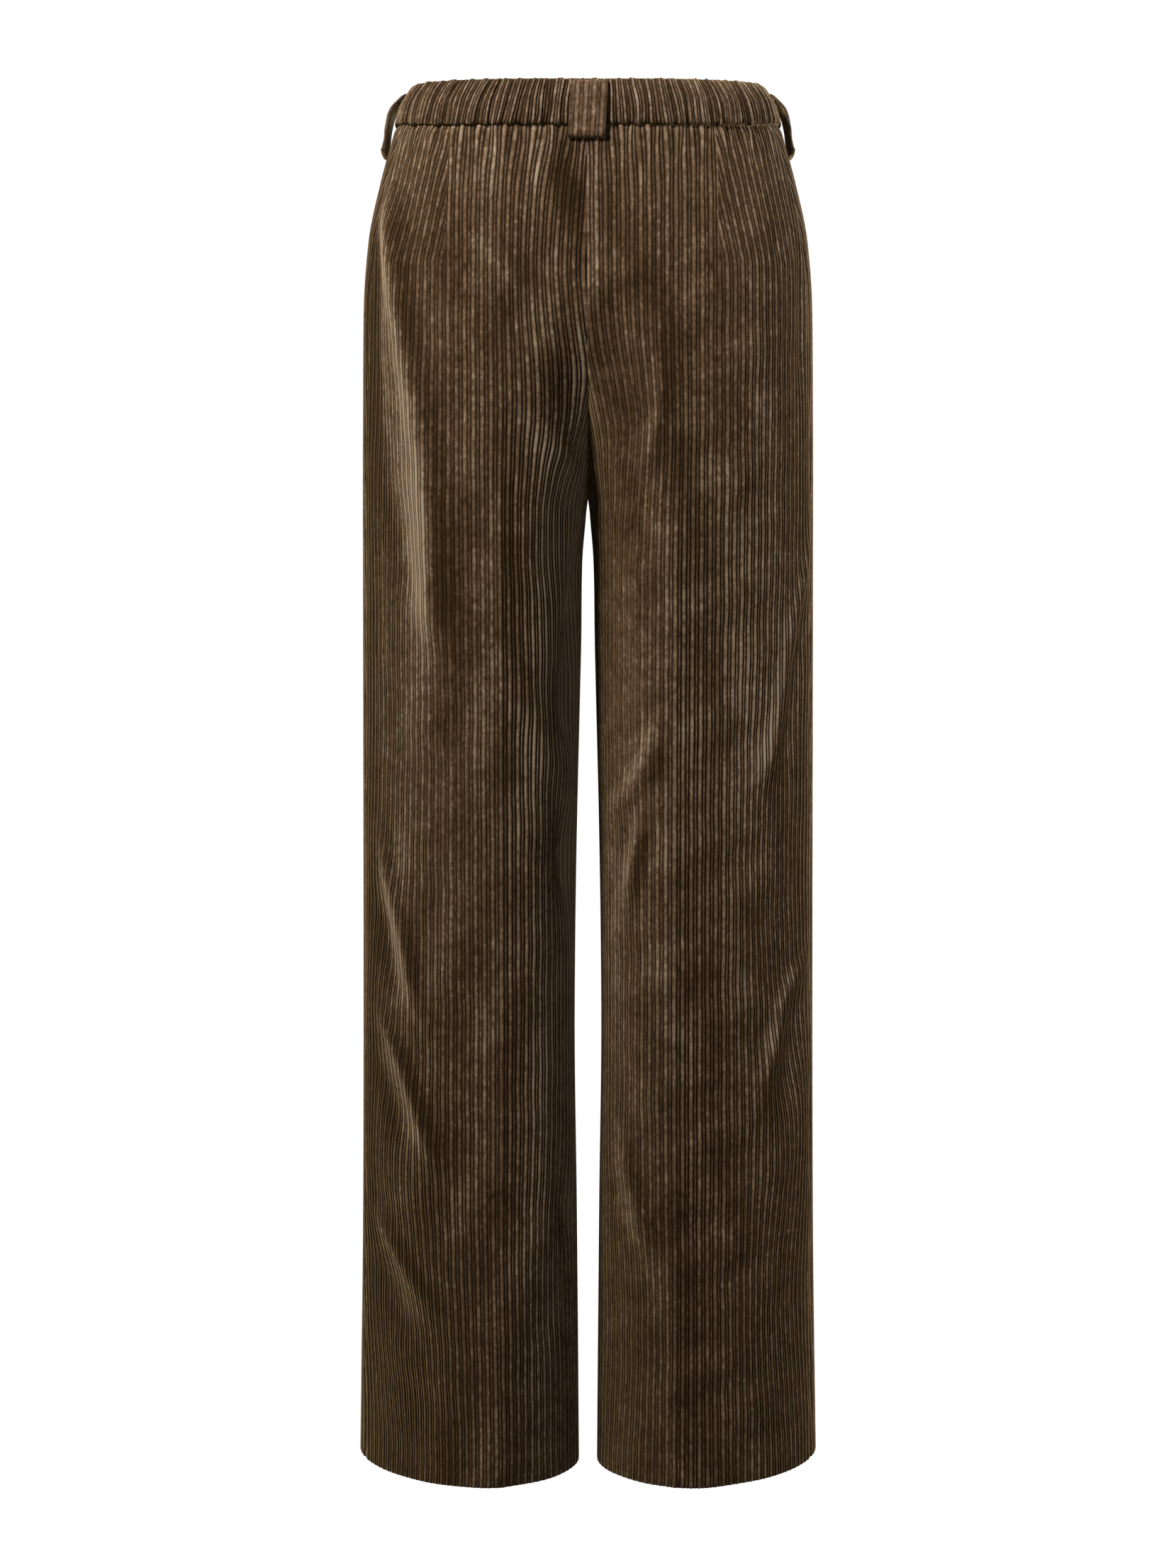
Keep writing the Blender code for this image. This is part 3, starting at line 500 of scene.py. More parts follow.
paintedShadeSettings = {
    "creaseStep": 0.10,  # painted light and shade at the pressed creases: paler, with the groove shade filled in, on the side towards the key light, and darker on the other
    "creaseClose": 0.12,
    "creaseSharp": 0.003,
    "creaseReach": 0.040,
    # painted shade: darker towards the hem, where less light falls
    "hemDark": 0.07,
    "hemDarkStart": 0.55,
    "hemDarkFade": 0.45,
    "closeLimits": (-0.6, 0.85),
}


def paintedShadeAt(half, around, depth):
    side = np.tanh(around / paintedShadeSettings["creaseSharp"])
    # painted shade, darker towards the hem
    dark = paintedShadeSettings["hemDark"] * fade(depth, paintedShadeSettings["hemDarkStart"], paintedShadeSettings["hemDarkFade"])
    pale, close = -dark + 0 * around, 0 * around
    for row in paintedShadePatches[half]:
        weight = patch(row, around, depth) * (0.5 + 0.5 * row.side * side if row.side else 1)
        pale += row.pale * weight
        close += row.close * weight
    # painted shade past each pressed crease on the side that turns from the key light, painted light on the other
    lean = sideSigns[half] * pressAt(depth) * side * np.exp(-np.abs(around) / paintedShadeSettings["creaseReach"])
    return pale + paintedShadeSettings["creaseStep"] * lean, np.clip(close + paintedShadeSettings["creaseClose"] * lean, *paintedShadeSettings["closeLimits"])


def addObject(name, data):
    made = bpy.data.objects.new(name, data)
    bpy.context.collection.objects.link(made)
    return made


def finishPiece(name, shape, material):
    mesh = bpy.data.meshes.new(name)
    shape.to_mesh(mesh)
    shape.free()
    mesh.materials.append(material)
    mesh.shade_smooth()
    return addObject(name, mesh)


def addRod(shape, sides, radius, length):
    return bmesh.ops.create_cone(shape, cap_ends=True, segments=sides, radius1=radius, radius2=radius,
                                 depth=length)["verts"]


def layAlong(verts, start, end):
    turned = (end - start).to_track_quat("Z", "Y").to_matrix()
    for vertex in verts:
        vertex.co = (start + end) / 2 + turned @ vertex.co


def readAll(items, name):
    values = np.zeros(len(items), np.int32)
    items.foreach_get(name, values)
    return values


def addShell(name, materials, faces, nap, close=None, columnStep=5, rowStep=3, columnsToo=(), rowsToo=()):
    # A closed wall of cloth: a fine outer face, and an inner one with only one column and row to each step.
    # faces gives the outer points, the inner points and the places on the flat cloth.
    outer, inner, uv = (np.array(face) for face in faces)
    rows, columns = outer.shape[0] - 1, outer.shape[1] - 1
    keepColumns = {*range(0, columns + 1, columnStep), columns, *columnsToo}
    keepRows = {*range(0, rows + 1, rowStep), rows, *rowsToo}
    shape = bmesh.new()
    bmesh.ops.create_grid(shape, x_segments=columns, y_segments=rows, size=1.0)
    spot = shape.verts.layers.int.new("spot")
    side = shape.verts.layers.int.new("side")
    for vertex in shape.verts:
        row = round((vertex.co.y + 1) / 2 * rows)
        vertex[spot] = row * (columns + 1) + round((vertex.co.x + 1) / 2 * columns)
    raised = bmesh.ops.extrude_face_region(shape, geom=list(shape.faces), use_keep_orig=True)
    for item in raised["geom"]:
        if isinstance(item, bmesh.types.BMVert):
            item[side] = 1
    spares = []
    for edge in shape.edges:
        one, other = edge.verts
        row, column = divmod(one[spot], columns + 1)
        upright = column == other[spot] % (columns + 1)
        joins = one[side] != other[side]
        spare = upright and column not in keepColumns or (joins or not upright) and row not in keepRows
        if spare and not (one[side] and other[side]):
            spares.append(edge)
    bmesh.ops.dissolve_edges(shape, edges=spares, use_verts=True)
    mesh = bpy.data.meshes.new(name)
    shape.to_mesh(mesh)
    spots, sides = (readAll(mesh.attributes[layer].data, "value") for layer in ("spot", "side"))
    places = np.where(sides[:, None] == 1, outer.reshape(-1, 3)[spots], inner.reshape(-1, 3)[spots])
    mesh.vertices.foreach_set("co", places.astype(np.float32).ravel())
    corners = readAll(mesh.loops, "vertex_index")
    uvLayer = mesh.uv_layers.new(name="cloth")
    uvLayer.data.foreach_set("uv", uv.reshape(-1, 2)[spots[corners]].astype(np.float32).ravel())
    # these attributes carry the painted light and shade with the nap's own tone, and how far the painted groove shade
    # is filled in
    for layer, values in (("nap", nap), ("close", close)):
        if values is not None:
            values = np.broadcast_to(values, outer.shape[:2]).reshape(-1)[spots].astype(np.float32)
            mesh.attributes.new(layer, "FLOAT", "POINT").data.foreach_set("value", values)
    for material in materials:
        mesh.materials.append(material)
    if len(materials) > 1:
        facing = np.maximum.reduceat(sides[corners], readAll(mesh.polygons, "loop_start"))
        mesh.polygons.foreach_set("material_index", (1 - facing).astype(np.int32))
    shape.clear()
    shape.from_mesh(mesh)
    bmesh.ops.remove_doubles(shape, verts=shape.verts, dist=cloth["weld"])
    bmesh.ops.recalc_face_normals(shape, faces=shape.faces)
    shape.to_mesh(mesh)
    shape.free()
    for layer in ("spot", "side"):
        mesh.attributes.remove(mesh.attributes[layer])
    mesh.shade_smooth()
    return addObject(name, mesh)


# Panels, each with the depths of its mesh rows and the dart of the back ones.
panels = {
    "topRows": [0.00015, 0.0010, 0.0024, 0.0040, 0.0058, 0.0078, 0.0100, 0.0124, 0.0150, 0.0180, 0.0215, 0.0255],
    "rowStep": 0.0058,
    "hemRows": [1.0770, 1.0786, 1.0795, 1.0800],
    "hemTuck": [0.0, 0.0001, 0.0005, 0.0013],
    "hemTurn": 0.034,
    "hemThick": 0.0012,
    "hemStep": 0.003,
    "snap": 0.0002,
    "spareInside": 0.010,  # cloth past the inner edge, and past the side seam for the wales that lean over it
    "spare": {"back": 0.028, "front": 0.010},
    "dartAt": {"left": 0.0442, "right": 0.0340},
    "dartLength": 0.105,
    "dartIntake": 0.024,
    "dartGroove": 0.0010,
    "dartWidth": 0.0026,
    "dartFade": 0.03,
    "waistDip": 0.0020,
    "waistDipFade": 0.0035,
    "puckerHeight": 0.0014,  # what the elastic leaves in the cloth, from waves of a rate, size and phase
    "puckerWaves": ((690, 1.0, 0.7), (431, 0.8, 2.1), (1130, 0.6, 4.0), (183, 0.9, 1.3)),
    "puckerFade": 0.015,
    "sway": 0.0011,  # how far the wales wave sideways under the waist seam
    "swayRates": (310, 90),
    "swayFade": 0.030,
    "paleTop": 0.16,  # painted light just below the waist seam, where the seat turns up to the light, and painted highlights and shade over the puckers
    "palePucker": 0.55,
    "paleTopFade": 0.034,
}


def panelDepths():
    start, end = panels["topRows"][-1], panels["hemRows"][0]
    steps = math.ceil((end - start) / panels["rowStep"])
    middle = [start + (end - start) * step / steps for step in range(1, steps)]
    return panels["topRows"] + middle + panels["hemRows"]


def panelLimits(face, ring):  # the inner edge, the crease and the side seam; sewn edges meet without a gap
    if face == "back":
        return ring.inseam, ring.crease, ring.sideSeam
    return ring.total + ring.inseam, ring.frontCrease, ring.sideSeam


def dartIntakeAt(face, depth):
    return panels["dartIntake"] * max(1 - depth / panels["dartLength"], 0.0) if face == "back" else 0.0


def puckersAt(half, length):
    waves = panels["puckerWaves"]
    total = sum(size * np.sin(length * sideSigns[half] * rate + phase) for rate, size, phase in waves)
    return total / sum(wave[1] for wave in waves)


def panelRow(half, face, depth, along, hemTuck):
    # One row of a panel: its outer and inner points, their flat places, how pale the nap is and how far it closes.
    ring = ringAt(depth)
    lift, nap, run = drapeAt(half, ring)
    innerEdge, crease, sideSeam = panelLimits(face, ring)
    intake, dart = dartIntakeAt(face, depth), panels["dartAt"][half]
    taken = ribs = along
    if intake:
        taken = np.where(along >= dart, np.maximum(along - intake, dart), along)
        ribs = np.where(taken == dart, dart, along)
    start = np.interp(crease - ring.crease, aroundSteps, run)
    around = np.interp(start + (taken if face == "back" else -taken), run, aroundSteps)
    rateAround, rateDown = panels["swayRates"]
    sway = panels["sway"] * math.exp(-depth / panels["swayFade"])
    around = around + pullAt(half, around, depth) + sway * np.sin(around * rateAround + depth * rateDown)
    length = ring.crease + around
    low, high = min(innerEdge, sideSeam), max(innerEdge, sideSeam)
    length = np.where(length - low < panels["snap"], low, length)
    length = np.where(high - length < panels["snap"], high, length)
    toEdge = np.minimum(length - low, high - length)
    free = smoothStep(toEdge / cloth["waleFadeAtSeam"])
    out = np.interp(length - ring.crease, aroundSteps, lift)
    out -= cloth["seamDip"] * bell(toEdge, cloth["seamDipWidth"])
    if intake:
        sewn = smoothStep((panels["dartLength"] - depth) / panels["dartFade"])
        out -= panels["dartGroove"] * sewn * bell(taken - dart, panels["dartWidth"])
        free = free * (1 - sewn * bell(taken - dart, panels["dartWidth"] / 2))
    out -= panels["waistDip"] * bell(depth, panels["waistDipFade"])
    wave = puckersAt(half, length) if face == "back" else 0.0
    out += panels["puckerHeight"] * math.exp(-depth / panels["puckerFade"]) * wave
    wales = cloth["waleHeight"] * (waleProfile(ribs / cloth["pairPitch"] + cloth["creaseShare"]) - 0.5) * free
    # painted light and shade: on the folds' slopes, below the waist seam and over the puckers
    pale = np.interp(length - ring.crease, aroundSteps, nap)
    pale += (panels["paleTop"] + panels["palePucker"] * wave) * math.exp(-depth / panels["paleTopFade"])
    turnUp = panels["hemThick"] * fade(depth, form["hemDepth"] - panels["hemTurn"], panels["hemStep"])
    x, y, outX, outY = ring.place(length)
    # above the crotch the halves meet at x = 0, and lap by a hair
    meet = 0 * x if ring.isLeg else 1 - smoothStep(np.abs(length - innerEdge) / cloth["meet"])
    least = 0.0 if ring.isLeg else -cloth["lap"]
    faces = []
    for rise, held in ((out + wales - hemTuck, meet), (out - cloth["wall"] - turnUp + hemTuck, 0.0)):
        px = np.maximum(x + outX * rise * (1 - held) - cloth["lap"] * meet, least) * sideSigns[half]
        faces.append(pointsOf(depth, px, y + outY * rise))
    # painted light and shade, patch by patch and at the pressed creases
    brushed, grooveShadeFilled = paintedShadeAt(half, length - ring.crease, depth)
    return *faces, np.column_stack([along, depth + 0 * along]), pale + brushed, grooveShadeFilled


def panelReach(face, half, depths):  # how far the panel's cloth goes from its crease, both ways
    inner = outer = 0.0
    for depth in depths:
        ring = ringAt(depth)
        run = drapeAt(half, ring)[2]
        edge, crease, seam = (np.interp(spot - ring.crease, aroundSteps, run) for spot in panelLimits(face, ring))
        inner = max(inner, abs(crease - edge))
        outer = max(outer, abs(seam - crease) + dartIntakeAt(face, depth))
    return inner + panels["spareInside"], outer + panels["spare"][face]


def addPanel(half, face, materials):
    depths = panelDepths()
    inner, outer = panelReach(face, half, depths)
    along = waleColumnsBetween(-inner, outer)
    tucks = [0.0] * (len(depths) - len(panels["hemTuck"])) + panels["hemTuck"]
    rows = [panelRow(half, face, depth, along, tuck) for depth, tuck in zip(depths, tucks)]
    *faces, napAndLightRows, grooveShadeFillRows = zip(*rows)
    dart = int(np.argmin(np.abs(along - panels["dartAt"][half])))
    return addShell(f"cloth_{face}_{half}", materials, faces, np.array(napAndLightRows), np.array(grooveShadeFillRows), rowStep=2,
                    columnsToo=[dart] if face == "back" else [], rowsToo=[len(depths) - 3])


# The waistband: elastic and gathered behind, plain in front, the right end lapped over the left.
band = {
    "pairs": 70,  # pairs of wales squeezed into the elastic stretch
    "inside": 0.0016,
    "underSeam": 0.0016,  # how far the band's inside reaches past the waist seam
    "frontLift": 0.0014,
    "frontThick": 0.0030,
    "frontEdge": 0.0009,
    "frontPale": 0.1,
    "lap": 0.034,
    "underLap": 0.004,  # how far the left end goes under the lap
    "lapRamp": 0.014,
    "lapRise": 0.0048,
    "waleHeight": 0.0018,
    "waleSpread": (0.30, 1.25),  # the least and the most of that height that a wale has
    "calm": 0.6,  # pairs at each end with no relief
    "gathers": ((0.47, 0.9), (0.31, 0.7), (0.83, 0.6), (0.19, 0.5)),  # gathers to a pair, and their size
    "gatherShare": 1.6,
    "gatherHeight": 0.0014,
    "gatherSway": 0.0018,
    "gatherWander": ((0.9, 2.2, 1.0), (0.37, -3.1, 0.6)),  # rate along and up the band, and size
    "gatherLean": {"left": 0.0050, "right": 0.0020},
    "scallops": ((0.0012, 0.05, 0.07), (-0.00072, 1.0, 0.06)),  # how far the seam and the top wave, and where
    "scallopLimits": (-0.6, 1.0),
    "pale": 0.11,
    "darkLeft": 0.26,
    "paleGather": 0.30,
    "seed": 7,
    "phases": 6.28,
}
# The outer faces from the seam, part 0, to the folded top, part 1. relief is the wales' share there.
bandColumns = "part lift relief"
backBandRows = rowsOf(
    bandColumns,
    (0.000, -0.0010, 0.25), (0.012, 0.0008, 0.60), (0.040, 0.0017, 0.85), (0.090, 0.0023, 1.00),
    (0.160, 0.0026, 1.00), (0.250, 0.0027, 0.90), (0.350, 0.0027, 0.85), (0.450, 0.0027, 0.80),
    (0.550, 0.0027, 0.80), (0.650, 0.0026, 0.85), (0.750, 0.0024, 0.90), (0.840, 0.0020, 1.00),
    (0.910, 0.0014, 1.00), (0.955, 0.0008, 0.95), (0.985, 0.0001, 0.80), (1.000, -0.0008, 0.50),
)
frontBandRows = rowsOf(
    bandColumns,
    (0.000, -0.0016, 0.2), (0.012, -0.0004, 0.8), (0.040, 0.0, 1.0), (0.120, 0.0, 1.0), (0.240, 0.0, 1.0),
    (0.380, 0.0, 1.0), (0.520, 0.0, 1.0), (0.660, 0.0, 1.0), (0.800, 0.0, 1.0), (0.920, -0.0001, 1.0),
    (0.970, -0.0004, 0.9), (0.992, -0.0009, 0.7), (1.000, -0.0016, 0.3),
)


def bandDepth(part):
    return -form["seamGap"] / 2 - (form["bandHeight"] - form["seamGap"]) * part


def bandPoints(ring, length, lift, fall=0.0):  # length is over 0 on the left half, under 0 on the right
    x, y, outX, outY = ring.place(np.abs(length))
    side = np.where(length < 0, -1.0, 1.0)
    return pointsOf(ring.depth, (x + outX * lift) * side, y + outY * lift, fall)


def pairShares(pairs):  # places from 0 to 1 across whole pairs of wales
    return np.array([pair + share for pair in range(pairs) for share in waleColumns] + [pairs]) / pairs


def addBackBand(materials):
    draw = np.random.default_rng(band["seed"])
    pairs = band["pairs"]
    shares = pairShares(pairs)
    turn = shares * pairs
    waleOf = np.floor(turn).astype(int) * 2 + (np.mod(turn, 1) >= cloth["wideShare"])
    heights = draw.uniform(*band["waleSpread"], 2 * pairs + 2)
    gathers = sum(size * np.sin(2 * math.pi * turn * rate + draw.uniform(0, band["phases"]))
                  for rate, size in band["gathers"])
    gathers = gathers / band["gatherShare"]
    wales = waleProfile(turn) * heights[waleOf] - 0.5
    calm = smoothStep(np.minimum(shares, 1 - shares) * pairs / band["calm"])
    fromMiddle = 2 * shares - 1
    lean = np.where(fromMiddle > 0, band["gatherLean"]["left"], band["gatherLean"]["right"])
    lean = lean * np.sin(math.pi * fromMiddle)
    scallop = np.clip(gathers, *band["scallopLimits"]) * calm
    rows = []
    for row in backBandRows:
        ring = ringAt(bandDepth(row.part))
        wander = sum(size * np.sin(turn * along + row.part * up) for along, up, size in band["gatherWander"])
        sway = (band["gatherSway"] * wander - lean) * (row.part - 0.5) * calm
        length = fromMiddle * (ring.sideSeam - form["seamGap"] / 2) + sway
        relief = (band["waleHeight"] * wales + band["gatherHeight"] * gathers / 2) * row.relief * calm
        fall = sum(height * bell(row.part - part, width) for height, part, width in band["scallops"])
        under = band["underSeam"] * (row is backBandRows[0])
        rows.append((bandPoints(ring, length, row.lift + relief, fall * scallop),
                     bandPoints(ring, length, -band["inside"], under), clothRow(turn, ring.depth)))
    # painted light on the gathers' ridges and painted shade in their hollows, and darker towards the left end
    nap = band["pale"] - band["darkLeft"] * shares**2 + band["paleGather"] * gathers
    return addShell("cloth_waistband_back", materials, zip(*rows), nap)


def frontBandReach(half):
    return ringAt(0.0).total - ringAt(0.0).sideSeam + (band["lap"] if half == "right" else 0.0)


def addFrontBand(half, materials):
    laps = half == "right"
    reach = frontBandReach(half)
    pairs = round(reach / cloth["pairPitch"])
    shares = pairShares(pairs)
    ends = np.minimum(shares, 1 - shares) * reach
    rounding = band["frontEdge"] * bell(ends, band["frontEdge"])
    wales = cloth["waleHeight"] * (waleProfile(shares * pairs) - 0.5) * smoothStep(ends / cloth["waleFadeAtSeam"])
    rows = []
    for row in frontBandRows:
        ring = ringAt(bandDepth(row.part))
        start = ring.sideSeam + form["seamGap"] / 2
        end = ring.total + band["lap" if laps else "underLap"]
        past = start + (end - start) * shares - ring.total
        lift = band["frontLift"] + (band["lapRise"] * smoothStep(1 + past / band["lapRamp"]) if laps else 0 * past)
        spot = np.maximum(ring.total - np.abs(past), 0.0)
        under = band["underSeam"] * (row is frontBandRows[0])
        faces = [bandPoints(ring, spot, lift + row.lift + wales * row.relief - rounding),
                 bandPoints(ring, spot, lift - band["frontThick"], under)]
        for face in faces:
            face[:, 0] *= np.where(past <= 0, 1.0, -1.0) * sideSigns[half]
        rows.append((*faces, clothRow(shares * pairs, ring.depth)))
    return addShell(f"cloth_waistband_front_{half}", materials, zip(*rows), band["frontPale"])


# Belt loops: a strip folded double, with its edges rounded and its lower end turned under.
loops = {
    "width": 0.029,
    "thick": 0.0023,
    "rows": 30,
    "pairs": 4,
    "plainEdge": 0.05,  # the share of its width without wales at each edge
    "edgeColumns": [0.0, 0.012, 0.03],
    "edge": 0.0011,
    "waleHeight": 0.0008,
    "waleSink": 0.6,
    "waleFade": 0.0015,
    "endThick": 0.0010,
    "endTurn": 0.0075,
    "endFade": 0.0015,
    "endRound": 0.0016,
    "endThin": 0.75,
    "pastSideSeam": 0.040,
    "pastFrontCrease": 0.004,
    "bandEdge": 0.0010,
    "bandPuff": 0.0024,
    "bandStepFade": 0.012,
    "clear": 0.00075,
    "backLean": 0.05,
    "backLeanFrom": 0.011,
    "turnUp": 0.014,  # what is turned under at both ends
    # painted light and shade on the loops: their groove shade partly filled in, the flat back loop drawn darker and
    # the arched ones paler
    "close": 0.40,
    "flatPale": -0.12,
    "archedPale": 0.25,
}
loopColumns = "depth standoff"
flatLoop = rowsOf(
    loopColumns,
    (-0.0335, 0.0003), (-0.0240, 0.0010), (-0.0120, 0.0012), (-0.0020, 0.0014), (0.0060, 0.0014),
    (0.0110, 0.0004),
)
archedLoop = rowsOf(
    loopColumns,
    (-0.0310, 0.0003), (-0.0250, 0.0018), (-0.0150, 0.0037), (-0.0020, 0.0045), (0.0080, 0.0044),
    (0.0160, 0.0042), (0.0215, 0.0020), (0.0240, 0.0004),
)


def surfaceLift(depth):  # how far the waistband or the panel stands off the form under a loop
    if depth < 0:
        puff = math.sqrt(math.sin(math.pi * min(-depth / form["bandHeight"], 1.0)))
        return loops["bandEdge"] + (loops["bandPuff"] - loops["bandEdge"]) * puff + loops["clear"]
    step = 1 - smoothStep(depth / loops["bandStepFade"])
    return cloth["waleHeight"] / 2 + (loops["bandEdge"] + loops["clear"]) * step


def addLoop(name, materials, table, middle):
    steps, pairs, plain = loops["rows"], loops["pairs"], loops["plainEdge"]
    span = table[-1].depth - table[0].depth
    columns = np.array(loops["edgeColumns"])
    shares = np.concatenate([columns, plain + (1 - 2 * plain) * pairShares(pairs), 1 - columns[::-1]])
    turn = np.clip((shares - plain) / (1 - 2 * plain), 0, 1) * pairs
    toSide = np.minimum(shares, 1 - shares) * loops["width"]
    rounding = loops["edge"] * (1 - np.sqrt(np.clip(1 - (1 - toSide / loops["edge"]).clip(0, 1)**2, 0, 1)))
    wales = loops["waleHeight"] * (waleProfile(turn) - loops["waleSink"]) * smoothStep(toSide / loops["waleFade"])
    rows = []
    for step in range(steps + 1):
        depth = table[0].depth + span * step / steps
        ring = ringAt(depth)
        length = middle(ring) + loops["width"] * (shares - 0.5)
        lift = surfaceLift(depth) + readTable(table, depth).standoff
        turned = loops["endThick"] * fade(depth, table[-1].depth - loops["endTurn"], loops["endFade"])
        toEnd = min(step, steps - step) / steps * span
        ending = 1 - math.sqrt(1 - max(1 - toEnd / loops["endRound"], 0.0)**2)
        face = (loops["thick"] + turned) * (1 - loops["endThin"] * ending) - rounding + wales * (1 - ending)
        rows.append((bandPoints(ring, length, lift + face), bandPoints(ring, length, lift), clothRow(turn, depth)))
    # painted light and shade on the loop
    pale = loops["flatPale" if table is flatLoop else "archedPale"]
    return addShell(name, materials, zip(*rows), pale, loops["close"], columnStep=4)


# The fly flap, and the curved row of stitches that holds it.
fly = {
    "start": 0.0006,
    "width": 0.0374,
    "length": 0.164,
    "straight": 0.100,
    "straightRows": 22,
    "curvedRows": 20,
    "thick": 0.0015,
    "standoff": 0.0009,
    "edge": 0.0009,
    "edgeDrop": 0.0008,
    "waleFade": 0.002,
    "pale": 0.1,
    "stitchInset": 0.0040,
    "stitchLength": 0.0026,
    "stitchGap": 0.0011,
    "stitchRadius": 0.00032,
    "stitchLift": 0.0004,
    "stitchStart": 0.004,
    "stitchBend": (0.05, 0.10),  # what the curve leaves out at its start and end, in radians
    "stitchSteps": (60, 40),
    "area": 0.0056,
}


def flyReach(depth):
    fall = max(depth - fly["straight"], 0.0) / (fly["length"] - fly["straight"])
    return fly["width"] * math.sqrt(max(1 - fall**2, 0.0)) + form["seamGap"]


def flyRow(depth, reach, rise):  # points on the fly's surface at reaches from the centre front
    ring = ringAt(depth)
    length = ring.total - form["seamGap"] / 2 - reach
    out = np.interp(length - ring.crease, aroundSteps, drapeAt("right", ring)[0])
    out += cloth["waleHeight"] / 2 + fly["standoff"] + rise
    x, y, outX, outY = ring.place(length)
    return pointsOf(depth, np.maximum(x + outX * out, form["seamGap"] / 2) * sideSigns["right"], y + outY * out)


def addFly(materials):
    curved = np.sin(np.linspace(0, math.pi / 2, fly["curvedRows"]))[1:] * (fly["length"] - fly["straight"])
    depths = [*np.linspace(fly["start"], fly["straight"], fly["straightRows"]), *(fly["straight"] + curved)]
    pairs = math.ceil(fly["width"] / cloth["pairPitch"])
    turn = pairShares(pairs) * pairs
    rows = []
    for depth in depths:
        most = flyReach(depth)
        reach = turn * cloth["pairPitch"]
        reach = np.where(reach > most - panels["snap"], most, reach)
        toEdge = np.minimum(np.minimum(most - reach, reach), fly["length"] - depth)
        wales = cloth["waleHeight"] * (waleProfile(turn) - 0.5) * smoothStep(toEdge / fly["waleFade"])
        rise = fly["thick"] + wales - fly["edgeDrop"] * bell(toEdge, fly["edge"])
        rows.append((flyRow(depth, reach, rise), flyRow(depth, reach, 0.0), clothRow(turn, depth)))
    return addShell("cloth_fly_flap", materials, zip(*rows), fly["pale"], rowStep=1)


def addStitches(thread):  # a J of short raised stitches, just inside the fly's edge
    inset, (straightSteps, curvedSteps), (skip, spare) = fly["stitchInset"], fly["stitchSteps"], fly["stitchBend"]
    depths = np.linspace(fly["stitchStart"], fly["straight"], straightSteps)
    spots = [(depth, flyReach(depth) - inset) for depth in depths]
    for turn in np.linspace(skip, math.pi / 2 - spare, curvedSteps):
        fall = (fly["length"] - fly["straight"] - inset) * math.sin(turn)
        spots.append((fly["straight"] + fall, (fly["width"] - inset) * math.cos(turn)))
    line = np.array([flyRow(depth, np.array([reach]), fly["thick"] + fly["stitchLift"])[0] for depth, reach in spots])
    run = np.concatenate([[0.0], np.cumsum(np.linalg.norm(np.diff(line, axis=0), axis=1))])
    pitch = fly["stitchLength"] + fly["stitchGap"]
    shape = bmesh.new()
    for index in range(int(run[-1] / pitch)):
        start, end = (Vector([np.interp(along, run, line[:, axis]) for axis in range(3)])
                      for along in (index * pitch, index * pitch + fly["stitchLength"]))
        made = bmesh.ops.create_icosphere(shape, subdivisions=1, radius=1.0)["verts"]
        size = (fly["stitchRadius"], fly["stitchRadius"], (end - start).length / 2)
        bmesh.ops.scale(shape, verts=made, vec=size)
        layAlong(made, start, end)
    bmesh.ops.recalc_face_normals(shape, faces=shape.faces)
    return finishPiece("fly_stitches", shape, thread)


# The waist button: a dished disc with four holes, and thread crossing them.
button = {
    "radius": 0.0090,
    "thick": 0.0032,
    "sides": 64,
    "weld": 0.00001,
    "holeRadius": 0.0008,
    "holeOffset": 0.0017,
    "threadRadius": 0.00035,
    "threadSink": 0.0006,
    "threadRise": 0.0012,
    "threadBow": 0.0003,
    "threadSteps": 12,
    "threadOverlap": 1.15,
}
buttonProfile = [  # reach and rise, in shares of the radius and half the thickness
    (0.0, 0.42), (0.56, 0.42), (0.64, 0.55), (0.70, 0.80), (0.76, 0.95), (0.83, 1.0), (0.90, 0.94),
    (0.955, 0.72), (0.988, 0.38), (1.0, 0.0), (0.985, -0.45), (0.94, -0.82), (0.88, -1.0), (0.0, -1.0),
]


def addDisc(horn):
    shape = bmesh.new()
    points = [shape.verts.new((button["radius"] * reach, 0.0, button["thick"] / 2 * rise))
              for reach, rise in buttonProfile]
    edges = [shape.edges.new(pair) for pair in zip(points, points[1:])]
    bmesh.ops.spin(shape, geom=points + edges, cent=(0, 0, 0), axis=(0, 0, 1), angle=2 * math.pi,
                   steps=button["sides"], use_merge=True)
    bmesh.ops.remove_doubles(shape, verts=shape.verts, dist=button["weld"])
    bmesh.ops.recalc_face_normals(shape, faces=shape.faces)
    disc = finishPiece("button_disc", shape, horn)
    holes = bmesh.new()
    for x, y in [(x * button["holeOffset"], y * button["holeOffset"]) for x in (-1, 1) for y in (-1, 1)]:
        made = addRod(holes, 20, button["holeRadius"], 4 * button["thick"])
        bmesh.ops.translate(holes, verts=made, vec=(x, y, 0))
    cutter = finishPiece("button_holes", holes, horn)
    cut = disc.modifiers.new("holes", "BOOLEAN")
    cut.operation = "DIFFERENCE"
    cut.solver = "EXACT"
    cut.object = cutter
    cutMesh = bpy.data.meshes.new_from_object(disc.evaluated_get(bpy.context.evaluated_depsgraph_get()))
    disc.modifiers.clear()
    disc.data = cutMesh
    bpy.data.objects.remove(cutter)
    return disc


